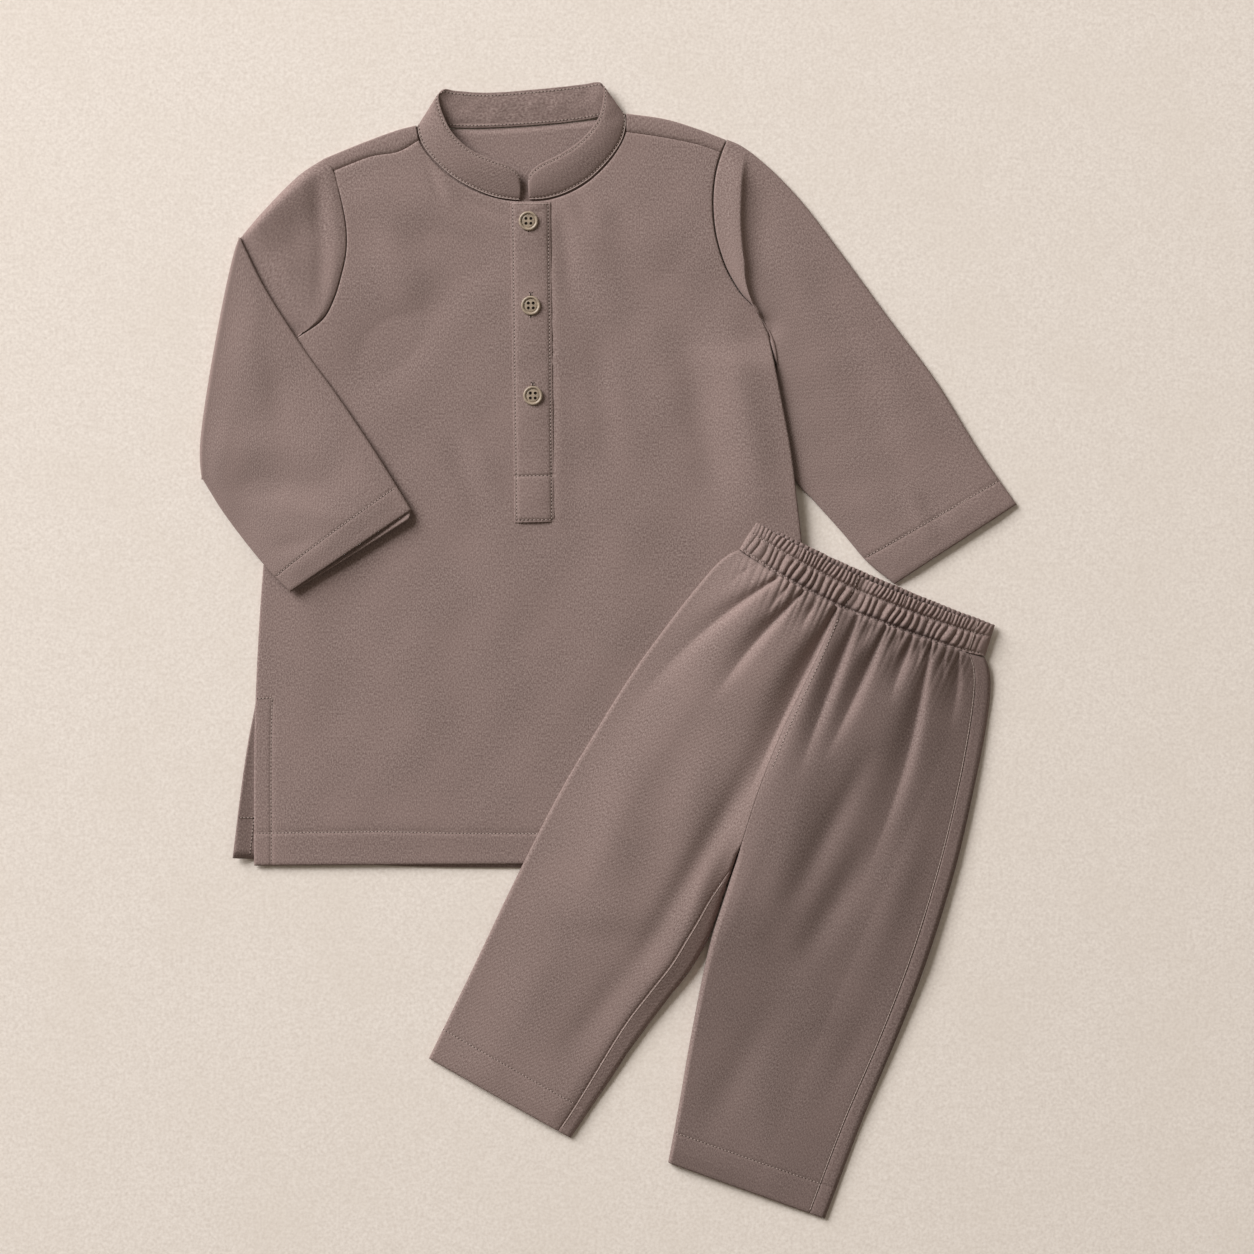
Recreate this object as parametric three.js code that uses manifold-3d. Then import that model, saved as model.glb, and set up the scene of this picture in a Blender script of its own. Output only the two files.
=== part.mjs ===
// Baby shalwar kameez, laid flat: a band-collared tunic with one sleeve folded over its front,
// and elastic-waist trousers laid across the tunic's lower corner.
// Millimetres, +Z up, +Y towards the collar. The origin is on the surface it lies on, at the middle.

import * as THREE from 'three';
import Module from 'manifold-3d';
import { mergeVertices } from 'three/addons/utils/BufferGeometryUtils.js';

const wasm = await Module();
wasm.setup();

// Cloth and its layers
const CLOTH = 1.0;
const SEAM_GAP = 0.3;
const HALF_GAP = SEAM_GAP / 2 + 0.03;
const FLAT_TUBE = 2 * CLOTH + SEAM_GAP;
const ON_TUNIC = FLAT_TUBE + SEAM_GAP;
const EDGE_SOFTNESS = 2.0;
const SAME_PLACE = 1e-6;

// Tunic
const SHOULDER_RADIUS = FLAT_TUBE / 2;
const PLACKET_WALL = 1.0;
const COLLAR_WALL = 1.3;
const SLEEVE_LENGTH = 270;
const SLEEVE_RIDGE_HEIGHT = 2.4;
const SLEEVE_RIDGE_DROP = 5;
const CUFF_LIFT = 2.0;
const CUFF_MOUTH = 2.2;
const SIDE_LIFT = ON_TUNIC;

// Buttons, the usual 18-line shirt size
const BUTTON_DIAMETER = 11.4;
const BUTTON_THICKNESS = 2.4;
const BUTTON_DISH = 0.8;
const BUTTON_HOLE_DIAMETER = 1.5;
const BUTTON_HOLE_SPACING = 2.9;

// Trousers: their own frame is turned on the tunic, across the waist and up towards it
const TROUSER_TURN = THREE.MathUtils.degToRad(-23.5);
const TROUSER_ORIGIN = new THREE.Vector2(156.5, 46);
const WAIST_RIBS = 42;
const RIB_HEIGHT = 1.8;
const WAIST_FULLNESS = 3.6;
const HEADING_HEIGHT = 7;
const BAND_HEIGHT = 19.5;
const STITCH_DIP = 0.8;
const HIP_FULLNESS = 6.4;
const LEG_FULLNESS = 1.1;
const LEAST_FULLNESS = 0.6;
const FULLNESS_FADE = 60;
const CROTCH_HEIGHT = -174.4;
const CROTCH_BLEND = 14;
const SIDE_SEAM_IN = 10;
const INSEAM_IN = 8;

// Where the trousers step down from the tunic to the surface below
const TUNIC_HEM_LOWEST = -128.4;
const TUNIC_SIDE_AT_CHEST = 114.6;
const TUNIC_SIDE_FLARE = 0.0656;
const TUNIC_SIDE_CHEST_Y = 66;
const STEP_START = 9;
const STEP_END = 28;
const CUFF_CORNER = new THREE.Vector2(162, 45);
const CUFF_CORNER_REACH = 6;

const COLOURS = { cloth: 0x82706b, placket: 0x80706a, button: 0x8b8070 };

// Small helpers
const { lerp, smoothstep, clamp } = THREE.MathUtils;

function table(columns, rows) {
  const names = columns.split(' ');
  return rows.map((row) => Object.fromEntries(names.map((name, i) => [name, row[i]])));
}

function mixPoints(a, b, t) {
  return new THREE.Vector2(lerp(a.x, b.x, t), lerp(a.y, b.y, t));
}

// A smooth line through the rows of a table, from 0 to 1 by its length
function seamLine(rows) {
  const curve = new THREE.CatmullRomCurve3(rows.map(({ x, y }) => new THREE.Vector3(x, y, 0)));
  return (t) => {
    const p = curve.getPointAt(clamp(t, 0, 1));
    return new THREE.Vector2(p.x, p.y);
  };
}

function straight(a, b) {
  return (t) => mixPoints(a, b, t);
}

// Lines joined end to end, each up to its own share of 0 to 1
function joinLines(parts) {
  return (t) => {
    let start = 0;
    for (const { end, line } of parts) {
      if (t <= end) return line((t - start) / (end - start));
      start = end;
    }
    return parts.at(-1).line(1);
  };
}

// The flat form between four lines: bottom and top run across, left and right run up
function clothPatch({ bottom, top, left, right }) {
  return (u, v) => {
    const acrossWay = mixPoints(left(v), right(v), u);
    const upWay = mixPoints(bottom(u), top(u), v);
    const corners = mixPoints(
      mixPoints(bottom(0), bottom(1), u),
      mixPoints(top(0), top(1), u),
      v,
    );
    return acrossWay.add(upWay).sub(corners);
  };
}

// Even stations from 0 to 1, or between breaks with a count for each stretch
function stations(counts, breaks = [0, 1]) {
  const list = [breaks[0]];
  counts.forEach((count, stretch) => {
    for (let i = 1; i <= count; i += 1) {
      list.push(lerp(breaks[stretch], breaks[stretch + 1], i / count));
    }
  });
  return list;
}

function closedGeometry(positions, indices) {
  const geometry = new THREE.BufferGeometry();
  let volume = 0;
  const corner = (n) => new THREE.Vector3().fromArray(positions, 3 * n);
  for (let i = 0; i < indices.length; i += 3) {
    const [a, b, c] = [corner(indices[i]), corner(indices[i + 1]), corner(indices[i + 2])];
    volume += a.dot(b.cross(c));
  }
  geometry.setAttribute('position', new THREE.Float32BufferAttribute(positions, 3));
  geometry.setIndex(volume < 0 ? indices.toReversed() : indices);
  geometry.computeVertexNormals();
  return geometry;
}

// A wall of cloth over a grid: point(u, v, depth) is the outside at depth 0 and the inside at
// the wall's thickness, and cells that are not present leave a cut-out
function clothWall({ us, vs, point, present = () => true, wall = CLOTH }) {
  const positions = [];
  const indices = [];
  const numbers = new Map();
  const vertex = (i, j, side) => {
    const key = `${i},${j},${side}`;
    if (!numbers.has(key)) {
      numbers.set(key, positions.length / 3);
      positions.push(...point(us[i], vs[j], side * wall));
    }
    return numbers.get(key);
  };
  const quad = (a, b, c, d) => indices.push(a, b, c, a, c, d);
  const inGrid = (i, j) => i >= 0 && j >= 0 && i < us.length - 1 && j < vs.length - 1;
  const has = (i, j) => inGrid(i, j) && present(i, j);
  const rim = (i0, j0, i1, j1) =>
    quad(vertex(i0, j0, 1), vertex(i1, j1, 1), vertex(i1, j1, 0), vertex(i0, j0, 0));
  for (let j = 0; j < vs.length - 1; j += 1) {
    for (let i = 0; i < us.length - 1; i += 1) {
      if (!has(i, j)) continue;
      quad(vertex(i, j, 0), vertex(i + 1, j, 0), vertex(i + 1, j + 1, 0), vertex(i, j + 1, 0));
      quad(vertex(i, j, 1), vertex(i, j + 1, 1), vertex(i + 1, j + 1, 1), vertex(i + 1, j, 1));
      if (!has(i, j - 1)) rim(i, j, i + 1, j);
      if (!has(i + 1, j)) rim(i + 1, j, i + 1, j + 1);
      if (!has(i, j + 1)) rim(i + 1, j + 1, i, j + 1);
      if (!has(i - 1, j)) rim(i, j + 1, i, j);
    }
  }
  return closedGeometry(positions, indices);
}

// A flattened tube's section. `along` is the distance round it from the middle of its first
// edge: over the upper layer, round the second edge and back under the lower layer.
const QUARTER = EDGE_SOFTNESS * 1.2;

function halfRound(width) {
  return width - 2 * EDGE_SOFTNESS + 2 * QUARTER;
}

function tubeSection(along, width, depth) {
  const half = halfRound(width);
  const round = ((along % (2 * half)) + 2 * half) % (2 * half);
  const upper = round < half;
  const s = upper ? round : 2 * half - round;
  const reach = EDGE_SOFTNESS - depth;
  let across = s - QUARTER + EDGE_SOFTNESS;
  let level = 1;
  if (s < QUARTER) {
    const angle = (s / QUARTER) * (Math.PI / 2);
    across = EDGE_SOFTNESS - reach * Math.cos(angle);
    level = Math.sin(angle);
  } else if (s > half - QUARTER) {
    const angle = ((half - s) / QUARTER) * (Math.PI / 2);
    across = width - EDGE_SOFTNESS + reach * Math.cos(angle);
    level = Math.sin(angle);
  }
  return { across, level: upper ? level : -level };
}

function tubeHeight(level, depth, height) {
  return height / 2 + level * (height / 2 - depth);
}

// Tunic outline. The side edges run up from the hem, over the armpit and round the armhole.
const leftSide = table('x y', [
  [-208.0, -126.5],
  [-207.5, -38.5],
  [-202.5, 50.5],
  [-196.5, 101.0],
  [-189.5, 154.5],
  [-184.0, 183.5],
]);
const leftArmhole = table('x y', [
  [-184.0, 183.5],
  [-167.0, 195.5],
  [-160.5, 207.5],
  [-156.5, 220.5],
  [-153.5, 235.0],
  [-153.5, 249.5],
  [-156.5, 266.0],
  [-161.0, 283.0],
]);
const rightSide = table('x y', [
  [127.0, -124.5],
  [121.5, -52.5],
  [117.5, 18.5],
  [114.5, 66.0],
  [112.0, 88.0],
  [108.5, 116.5],
  [101.5, 154.5],
  [95.0, 187.0],
]);
const rightArmhole = table('x y', [
  [95.0, 187.0],
  [88.0, 201.0],
  [79.0, 210.5],
  [70.0, 225.5],
  [64.5, 242.0],
  [62.5, 255.0],
  [62.2, 268.5],
  [64.0, 283.0],
  [67.0, 294.0],
]);
const leftForwardSeam = table('x y', [
  [-161.0, 283.0],
  [-139.0, 291.5],
  [-122.5, 294.5],
  [-111.0, 301.0],
]);
const rightForwardSeam = table('x y', [
  [11.5, 306.0],
  [35.0, 302.5],
  [54.0, 298.5],
  [67.0, 294.0],
]);
const frontNeck = table('x y', [
  [-111.0, 301.0],
  [-109.5, 298.0],
  [-99.5, 285.5],
  [-85.0, 274.5],
  [-71.5, 268.5],
  [-59.0, 265.5],
  [-45.5, 264.8],
  [-33.5, 266.0],
  [-20.5, 270.5],
  [-9.5, 277.5],
  [2.0, 289.0],
  [9.0, 300.0],
  [11.5, 306.0],
]);
const leftShoulder = table('x y', [
  [-166.5, 290.5],
  [-142.0, 300.5],
  [-122.5, 307.5],
  [-112.5, 310.0],
]);
const backNeck = table('x y', [
  [-112.5, 310.0],
  [-94.0, 308.0],
  [-71.5, 308.0],
  [-38.0, 310.0],
  [-6.0, 313.5],
  [11.5, 317.0],
]);
const rightShoulder = table('x y', [
  [11.5, 317.0],
  [35.0, 313.5],
  [54.5, 307.5],
  [70.0, 301.5],
]);
const backSlitEdge = table('x y', [
  [-220.5, -122.0],
  [-216.5, -88.0],
  [-212.0, -55.5],
  [-207.0, -29.0],
]);
const backHem = table('x y', [
  [-220.5, -122.0],
  [-156.5, -125.5],
  [-104.5, -127.5],
  [-50.5, -128.0],
  [127.0, -125.5],
]);

const LEFT_NECK = 0.22;
const RIGHT_NECK = 0.76;
const RIGHT_EDGE = 0.95;
const ARMHOLE_START = 0.76;
const SLIT_END = 0.18;
const tunicColumns = stations([3, 9, 2, 3], [0, LEFT_NECK, RIGHT_NECK, RIGHT_EDGE, 1]);
const tunicRows = stations([3, 9, 7, 5], [0, SLIT_END, ARMHOLE_START, 0.86, 1]);

function tunicSideX(y) {
  return TUNIC_SIDE_AT_CHEST + (TUNIC_SIDE_CHEST_Y - y) * TUNIC_SIDE_FLARE;
}

// The body's right edge lies on the underarm of the sleeve tucked beneath it
function sideLift({ x, y }) {
  const edge = seamX(rightSide, y);
  const inwards = smoothstep(x, edge - 17, edge - 9);
  const upwards = smoothstep(y, 84, 96) * (1 - smoothstep(y, 166, 180));
  return SIDE_LIFT * inwards * upwards;
}

function seamX(rows, y) {
  let i = 0;
  while (i < rows.length - 2 && rows[i + 1].y < y) i += 1;
  const [a, b] = [rows[i], rows[i + 1]];
  return lerp(a.x, b.x, clamp((y - a.y) / (b.y - a.y), 0, 1));
}

const frontPatch = clothPatch({
  bottom: straight(new THREE.Vector2(-208.0, -126.5), new THREE.Vector2(127.0, -124.5)),
  top: joinLines([
    { end: LEFT_NECK, line: seamLine(leftForwardSeam) },
    { end: RIGHT_NECK, line: seamLine(frontNeck) },
    { end: 1, line: seamLine(rightForwardSeam) },
  ]),
  left: joinLines([
    { end: ARMHOLE_START, line: seamLine(leftSide) },
    { end: 1, line: seamLine(leftArmhole) },
  ]),
  right: joinLines([
    { end: ARMHOLE_START, line: seamLine(rightSide) },
    { end: 1, line: seamLine(rightArmhole) },
  ]),
});

function tunicFront() {
  return clothWall({
    us: tunicColumns,
    vs: tunicRows,
    point: (u, v, depth) => {
      const p = frontPatch(u, v);
      return [p.x, p.y, FLAT_TUBE - depth + sideLift(p)];
    },
  });
}

// The back lies on the surface and is carried over the shoulders to the forward seams
const backPatch = clothPatch({
  bottom: seamLine(backHem),
  top: joinLines([
    { end: LEFT_NECK, line: seamLine(leftShoulder) },
    { end: RIGHT_NECK, line: seamLine(backNeck) },
    { end: 1, line: seamLine(rightShoulder) },
  ]),
  left: joinLines([
    { end: SLIT_END, line: seamLine(backSlitEdge) },
    { end: ARMHOLE_START, line: seamLine([{ x: -207, y: -29 }, ...leftSide.slice(2)]) },
    { end: 1, line: seamLine([...leftArmhole, { x: -166.5, y: 290.5 }]) },
  ]),
  right: joinLines([
    { end: ARMHOLE_START, line: seamLine(rightSide) },
    { end: 1, line: seamLine([...rightArmhole, { x: 70.0, y: 301.5 }]) },
  ]),
});

const forwardSeam = joinLines([
  { end: LEFT_NECK, line: seamLine(leftForwardSeam) },
  { end: RIGHT_NECK, line: straight(leftForwardSeam.at(-1), rightForwardSeam[0]) },
  { end: 1, line: seamLine(rightForwardSeam) },
]);

const FOLD_STEPS = 4;

function tunicBack() {
  const fold = stations([FOLD_STEPS], [1, 2]).slice(1);
  const onWrap = (u, slack) => u < LEFT_NECK + slack || u > RIGHT_NECK - SAME_PLACE;
  const onShoulder = (i) => onWrap(tunicColumns[i], -SAME_PLACE);
  return clothWall({
    us: tunicColumns,
    vs: [...tunicRows, ...fold, 3],
    present: (i, j) => j < tunicRows.length - 1 || onShoulder(i),
    point: (u, v, depth) => {
      const p = backPatch(u, Math.min(v, 1));
      if (v < 1) return [p.x, p.y, depth + sideLift(p)];
      if (!onWrap(u, SAME_PLACE)) return [p.x, p.y, depth];
      if (v <= 2) {
        const angle = (v - 1) * Math.PI;
        const reach = SHOULDER_RADIUS - depth;
        return [
          p.x,
          p.y - SHOULDER_RADIUS + reach * Math.sin(angle),
          SHOULDER_RADIUS - reach * Math.cos(angle),
        ];
      }
      const seam = forwardSeam(u);
      return [seam.x, seam.y + 2 * HALF_GAP, FLAT_TUBE - depth];
    },
  });
}

// The placket lies on the front, made from the front's height there
const placketCorners = {
  bottomLeft: new THREE.Vector2(-54.5, 75.5),
  bottomRight: new THREE.Vector2(-31.0, 76.0),
  topLeft: new THREE.Vector2(-57.0, 264.6),
  topRight: new THREE.Vector2(-33.2, 264.8),
};

function placketPoint(u, v) {
  const { bottomLeft, bottomRight, topLeft, topRight } = placketCorners;
  return mixPoints(mixPoints(bottomLeft, bottomRight, u), mixPoints(topLeft, topRight, u), v);
}

const PLACKET_TOP = ON_TUNIC + PLACKET_WALL;

function placket() {
  return clothWall({
    us: stations([3]),
    vs: stations([10]),
    wall: PLACKET_WALL,
    point: (u, v, depth) => {
      const p = placketPoint(u, v);
      return [p.x, p.y, PLACKET_TOP - depth];
    },
  });
}

// The band collar stands as a soft ring that leans back over the neck. Each row gives the
// foot of the band and its upper edge, from one front end round the back to the other.
const collarRows = table('x y z topX topY topZ', [
  [-57.6, 266.2, 2.3, -51.0, 276.0, 7.5],
  [-61.5, 266.7, 2.3, -51.2, 281.0, 10.0],
  [-68.5, 268.4, 2.3, -57.0, 285.6, 12.0],
  [-78.0, 272.2, 2.3, -68.0, 289.4, 13.0],
  [-90.0, 278.9, 2.3, -79.5, 294.4, 13.5],
  [-101.0, 288.6, 2.3, -89.5, 303.0, 14.0],
  [-108.5, 298.5, 2.4, -95.5, 313.0, 14.0],
  [-111.4, 307.5, 2.4, -99.3, 326.0, 12.0],
  [-109.0, 311.0, 1.7, -96.0, 331.0, 7.0],
  [-94.0, 309.0, 0.3, -88.0, 330.0, 3.4],
  [-71.5, 308.6, 0.3, -68.0, 329.0, 2.6],
  [-38.0, 310.6, 0.3, -36.5, 331.5, 2.6],
  [-12.0, 313.6, 0.3, -13.0, 334.0, 3.4],
  [6.6, 317.8, 1.7, -4.5, 335.0, 7.0],
  [11.0, 313.7, 2.5, -1.8, 330.5, 12.0],
  [9.9, 304.2, 2.4, -3.5, 317.5, 14.0],
  [5.6, 295.6, 2.3, -9.0, 307.5, 14.0],
  [-2.5, 285.6, 2.3, -17.5, 299.0, 13.5],
  [-12.0, 277.0, 2.3, -28.5, 292.0, 13.0],
  [-22.5, 270.9, 2.3, -38.5, 287.5, 12.0],
  [-30.0, 267.9, 2.3, -45.6, 282.0, 10.0],
  [-34.2, 266.9, 2.3, -46.4, 276.5, 7.5],
]);

const collarFoot = new THREE.CatmullRomCurve3(
  collarRows.map(({ x, y, z }) => new THREE.Vector3(x, y, z)),
);
const collarTop = new THREE.CatmullRomCurve3(
  collarRows.map(({ topX, topY, topZ }) => new THREE.Vector3(topX, topY, topZ)),
);

function collarSurface(u, v) {
  return collarFoot.getPoint(clamp(u, 0, 1)).lerp(collarTop.getPoint(clamp(u, 0, 1)), v);
}

function collar() {
  const small = 0.004;
  return clothWall({
    us: stations([44]),
    vs: stations([3]),
    wall: COLLAR_WALL,
    point: (u, v, depth) => {
      const before = collarSurface(Math.max(u - small, 0), v);
      const after = collarSurface(Math.min(u + small, 1), v);
      const foot = collarSurface(u, 0);
      const top = collarSurface(u, 1);
      const inwards = after.sub(before).cross(top.sub(foot)).normalize();
      return collarSurface(u, v).addScaledVector(inwards, depth).toArray();
    },
  });
}

// Sleeves: flattened tubes, seamed along the underarm. The first edge is the upper fold and
// the second the underarm, so the seam gap is at half way round.
function sleeveColumns(flatCount) {
  const start = 0.5 - 0.003;
  const list = stations([2, flatCount, 4, flatCount, 2], [0, 0.02, 0.48, 0.52, 0.98, 1]);
  return list.map((share) => lerp(-start, start, share));
}

// A share round the section, from -0.5 under the sleeve to 0.5, as a place in the tube
function sleeveSection(share, width, depth) {
  const half = halfRound(width);
  const corners = [
    { share: -0.5, along: -half + HALF_GAP },
    { share: -0.48, along: -half + QUARTER },
    { share: -0.02, along: -QUARTER },
    { share: 0.02, along: QUARTER },
    { share: 0.48, along: half - QUARTER },
    { share: 0.5, along: half - HALF_GAP },
  ];
  let i = 0;
  while (i < corners.length - 2 && corners[i + 1].share < share) i += 1;
  const [a, b] = [corners[i], corners[i + 1]];
  const t = clamp((share - a.share) / (b.share - a.share), 0, 1);
  return tubeSection(lerp(a.along, b.along, t), width, depth);
}

const reversed = (rows) => rows.toReversed();
const shifted = (rows, dx, dy) => rows.map(({ x, y }) => ({ x: x + dx, y: y + dy }));
const ARMHOLE_GAP = 1.0;
const UNDERARM_EASE = 1.8;

// The underarm starts slowly at the armpit, so that the sleeve clears the armhole
function easedStart(line) {
  return (t) => line(t ** UNDERARM_EASE);
}


const openSleeveUpper = seamLine(
  table('x y', [
    [70.6, 301.7],
    [79.0, 298.0],
    [94.0, 286.5],
    [114.0, 266.0],
    [139.0, 233.5],
    [166.5, 196.0],
    [193.5, 160.0],
    [220.5, 116.5],
    [241.5, 86.5],
  ]),
);
const openSleeveLower = easedStart(
  seamLine(
    table('x y', [
      [95.8, 187.4],
      [99.6, 170.0],
      [99.4, 150.0],
      [104.0, 116.5],
      [111.5, 99.5],
      [121.0, 89.5],
      [139.0, 69.5],
      [153.5, 52.5],
      [169.5, 39.5],
    ]),
  ),
);
const openSleevePatch = clothPatch({
  bottom: seamLine(
    shifted(
      [{ x: 69.8, y: 301.3 }, ...reversed(rightArmhole).slice(1)],
      ARMHOLE_GAP,
      ARMHOLE_GAP / 2,
    ),
  ),
  top: straight(new THREE.Vector2(241.5, 86.5), new THREE.Vector2(169.5, 39.5)),
  left: openSleeveUpper,
  right: openSleeveLower,
});

const ridgeRows = table('across distance', [
  [0, 9],
  [0.45, 20],
  [1, 6],
]);

function ridgeDistance(across) {
  const i = across < ridgeRows[1].across ? 0 : 1;
  const [a, b] = [ridgeRows[i], ridgeRows[i + 1]];
  return lerp(a.distance, b.distance, (across - a.across) / (b.across - a.across));
}

// The sleeve head stands proud as a soft fold beside the armhole seam
function sleeveHeadRelief(across, distance) {
  const ridge = ridgeDistance(clamp(across, 0, 1));
  const rise = smoothstep(distance, 0, ridge);
  const drop = 1 - smoothstep(distance, ridge, ridge + SLEEVE_RIDGE_DROP);
  const ends = Math.sqrt(Math.max(Math.sin(Math.PI * clamp(across, 0, 1)), 0));
  return SLEEVE_RIDGE_HEIGHT * rise * drop * ends;
}

function sleeveLeft() {
  const rows = [0, 5, 10, 15, 20, 25, 32, 50, 80, 120, 165, 210, 245, SLEEVE_LENGTH];
  return clothWall({
    us: sleeveColumns(8),
    vs: rows.map((distance) => distance / SLEEVE_LENGTH),
    point: (share, v, depth) => {
      const width = openSleeveUpper(v).distanceTo(openSleeveLower(v));
      const { across, level } = sleeveSection(share, width, depth);
      const p = openSleevePatch(across / width, v);
      const relief = level > 0 ? sleeveHeadRelief(across / width, v * SLEEVE_LENGTH) : 0;
      return [p.x, p.y, tubeHeight(level, depth, FLAT_TUBE) + relief * level];
    },
  });
}

// The other sleeve is folded over the tunic's front, along the line from A to B
const foldLine = table('x y', [
  [-218.5, 244.0],
  [-227.0, 203.0],
  [-235.0, 158.5],
  [-240.0, 122.0],
  [-240.5, 101.5],
]);
const FOLD_OUTWARDS = new THREE.Vector2(-0.988, 0.153);
const FOLD_AXIS_HEIGHT = FLAT_TUBE + SEAM_GAP / 2;
const foldInset = foldLine.map(({ x, y }) => ({
  x: x - FOLD_OUTWARDS.x * FOLD_AXIS_HEIGHT,
  y: y - FOLD_OUTWARDS.y * FOLD_AXIS_HEIGHT,
}));
const headUpper = seamLine([
  ...table('x y', [
    [-168.3, 289.9],
    [-181.0, 281.0],
    [-203.0, 259.0],
  ]),
  foldInset[0],
]);
const headLower = easedStart(
  seamLine([{ x: -184.8, y: 183.9 }, { x: -212, y: 144 }, foldInset.at(-1)]),
);
const headPatch = clothPatch({
  bottom: seamLine(
    shifted([{ x: -167.4, y: 289.4 }, ...reversed(leftArmhole)], -ARMHOLE_GAP, ARMHOLE_GAP / 2),
  ),
  top: seamLine(foldInset),
  left: headUpper,
  right: headLower,
});
const foldedUpper = seamLine([
  foldInset[0],
  ...table('x y', [
    [-202.0, 215.0],
    [-177.5, 176.5],
    [-158.0, 149.5],
    [-135.5, 116.0],
    [-115.0, 83.0],
  ]),
]);
const foldedLower = seamLine([
  foldInset.at(-1),
  ...table('x y', [
    [-225.5, 81.0],
    [-202.0, 51.0],
    [-186.5, 35.0],
  ]),
]);
const foldedPatch = clothPatch({
  bottom: seamLine(foldInset),
  top: straight(new THREE.Vector2(-115.0, 83.0), new THREE.Vector2(-186.5, 35.0)),
  left: foldedUpper,
  right: foldedLower,
});

function sleeveRight() {
  const HEAD_ROWS = 6;
  const TURN_STEPS = 6;
  const FOLDED_ROWS = 7;
  return clothWall({
    us: sleeveColumns(8),
    vs: stations([HEAD_ROWS, TURN_STEPS, FOLDED_ROWS], [0, 1, 2, 3]),
    point: (share, v, depth) => {
      if (v <= 1) {
        const width = headUpper(v).distanceTo(headLower(v));
        const { across, level } = sleeveSection(share, width, depth);
        const p = headPatch(across / width, v);
        return [p.x, p.y, tubeHeight(level, depth, FLAT_TUBE)];
      }
      if (v <= 2) {
        const width = headUpper(1).distanceTo(headLower(1));
        const { across, level } = sleeveSection(share, width, depth);
        const p = headPatch(across / width, 1);
        const radius = FOLD_AXIS_HEIGHT - tubeHeight(level, depth, FLAT_TUBE);
        const angle = (v - 1) * Math.PI;
        p.addScaledVector(FOLD_OUTWARDS, radius * Math.sin(angle));
        return [p.x, p.y, FOLD_AXIS_HEIGHT - radius * Math.cos(angle)];
      }
      const down = v - 2;
      const width = foldedUpper(down).distanceTo(foldedLower(down));
      const { across, level } = sleeveSection(share, width, depth);
      const p = foldedPatch(across / width, down);
      const middle = Math.sin(Math.PI * clamp(across / width, 0, 1));
      const mouth = level < 0 ? -level * CUFF_MOUTH * middle * smoothstep(down, 0.55, 1) : 0;
      const lift = CUFF_LIFT * smoothstep(down, 0.4, 1) + mouth;
      return [p.x, p.y, 2 * FOLD_AXIS_HEIGHT - tubeHeight(level, depth, FLAT_TUBE) + lift];
    },
  });
}

// Trousers. Their lines are in their own frame: x across the waist, y up to it.
function toWorld({ x, y }) {
  return new THREE.Vector2(x, y).rotateAround(new THREE.Vector2(), TROUSER_TURN).add(TROUSER_ORIGIN);
}

// What the trousers lie on: the tunic, a sleeve's cuff corner, or the surface below both
function restHeight({ x, y }) {
  const outside = Math.max(x - tunicSideX(y), TUNIC_HEM_LOWEST - y);
  const onTunic = 1 - smoothstep(outside, STEP_START, STEP_END);
  const fromCuff = CUFF_CORNER.distanceTo(new THREE.Vector2(x, y)) - CUFF_CORNER_REACH;
  const onCuff = 1 - smoothstep(fromCuff, STEP_START, STEP_END);
  return ON_TUNIC * Math.max(onTunic, onCuff);
}

const bandFoot = table('x y', [
  [-77.6, -18.4],
  [-55.0, -22.6],
  [-30.0, -25.4],
  [-7.7, -26.4],
  [11.2, -25.4],
  [38.6, -23.7],
  [65.4, -21.1],
  [80.4, -18.4],
]);
const bandTop = table('x y', [
  [-75.4, 0.9],
  [-45.0, -0.6],
  [-8.7, -1.7],
  [28.9, -1.4],
  [56.4, -0.6],
  [78.4, 0.6],
]);
const FRONT_TOP_DROP = 3.4;
const bandPatch = clothPatch({
  bottom: seamLine(bandFoot),
  top: seamLine(bandTop),
  left: straight(bandFoot[0], bandTop[0]),
  right: straight(bandFoot.at(-1), bandTop.at(-1)),
});

const centreSeam = table('x y', [
  [-10.6, -26.6],
  [-10.4, -52.0],
  [-11.2, -80.0],
  [-12.0, -110.0],
  [-10.8, -145.0],
  [-7.9, -174.4],
]);
const legs = {
  left: {
    outer: table('x y', [
      [-77.6, -18.8],
      [-82.0, -23.6],
      [-86.4, -32.0],
      [-90.1, -43.5],
      [-95.5, -62.9],
      [-101.2, -86.7],
      [-106.5, -111.4],
      [-113.3, -157.1],
      [-117.6, -192.2],
      [-121.2, -252.0],
      [-123.3, -311.6],
      [-125.8, -366.7],
    ]),
    inner: table('x y', [
      [-7.9, -174.4],
      [-4.2, -213.9],
      [-2.6, -233.0],
      [-4.6, -257.0],
      [-9.8, -278.2],
      [-15.7, -301.5],
      [-22.8, -336.7],
      [-30.3, -376.4],
    ]),
    seamOuter: 0,
    seamInner: INSEAM_IN,
  },
  right: {
    outer: table('x y', [
      [80.4, -18.8],
      [85.0, -23.4],
      [88.8, -29.5],
      [92.6, -38.9],
      [97.8, -56.3],
      [101.2, -69.9],
      [106.4, -93.2],
      [114.5, -138.9],
      [121.0, -199.1],
      [123.2, -249.3],
      [123.4, -300.0],
      [126.1, -360.3],
    ]),
    inner: table('x y', [
      [-7.9, -174.4],
      [-3.6, -213.9],
      [-2.0, -231.0],
      [1.0, -249.3],
      [6.8, -276.3],
      [13.4, -304.9],
      [20.0, -331.6],
      [28.0, -366.6],
    ]),
    seamOuter: SIDE_SEAM_IN,
    seamInner: 0,
  },
};

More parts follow.
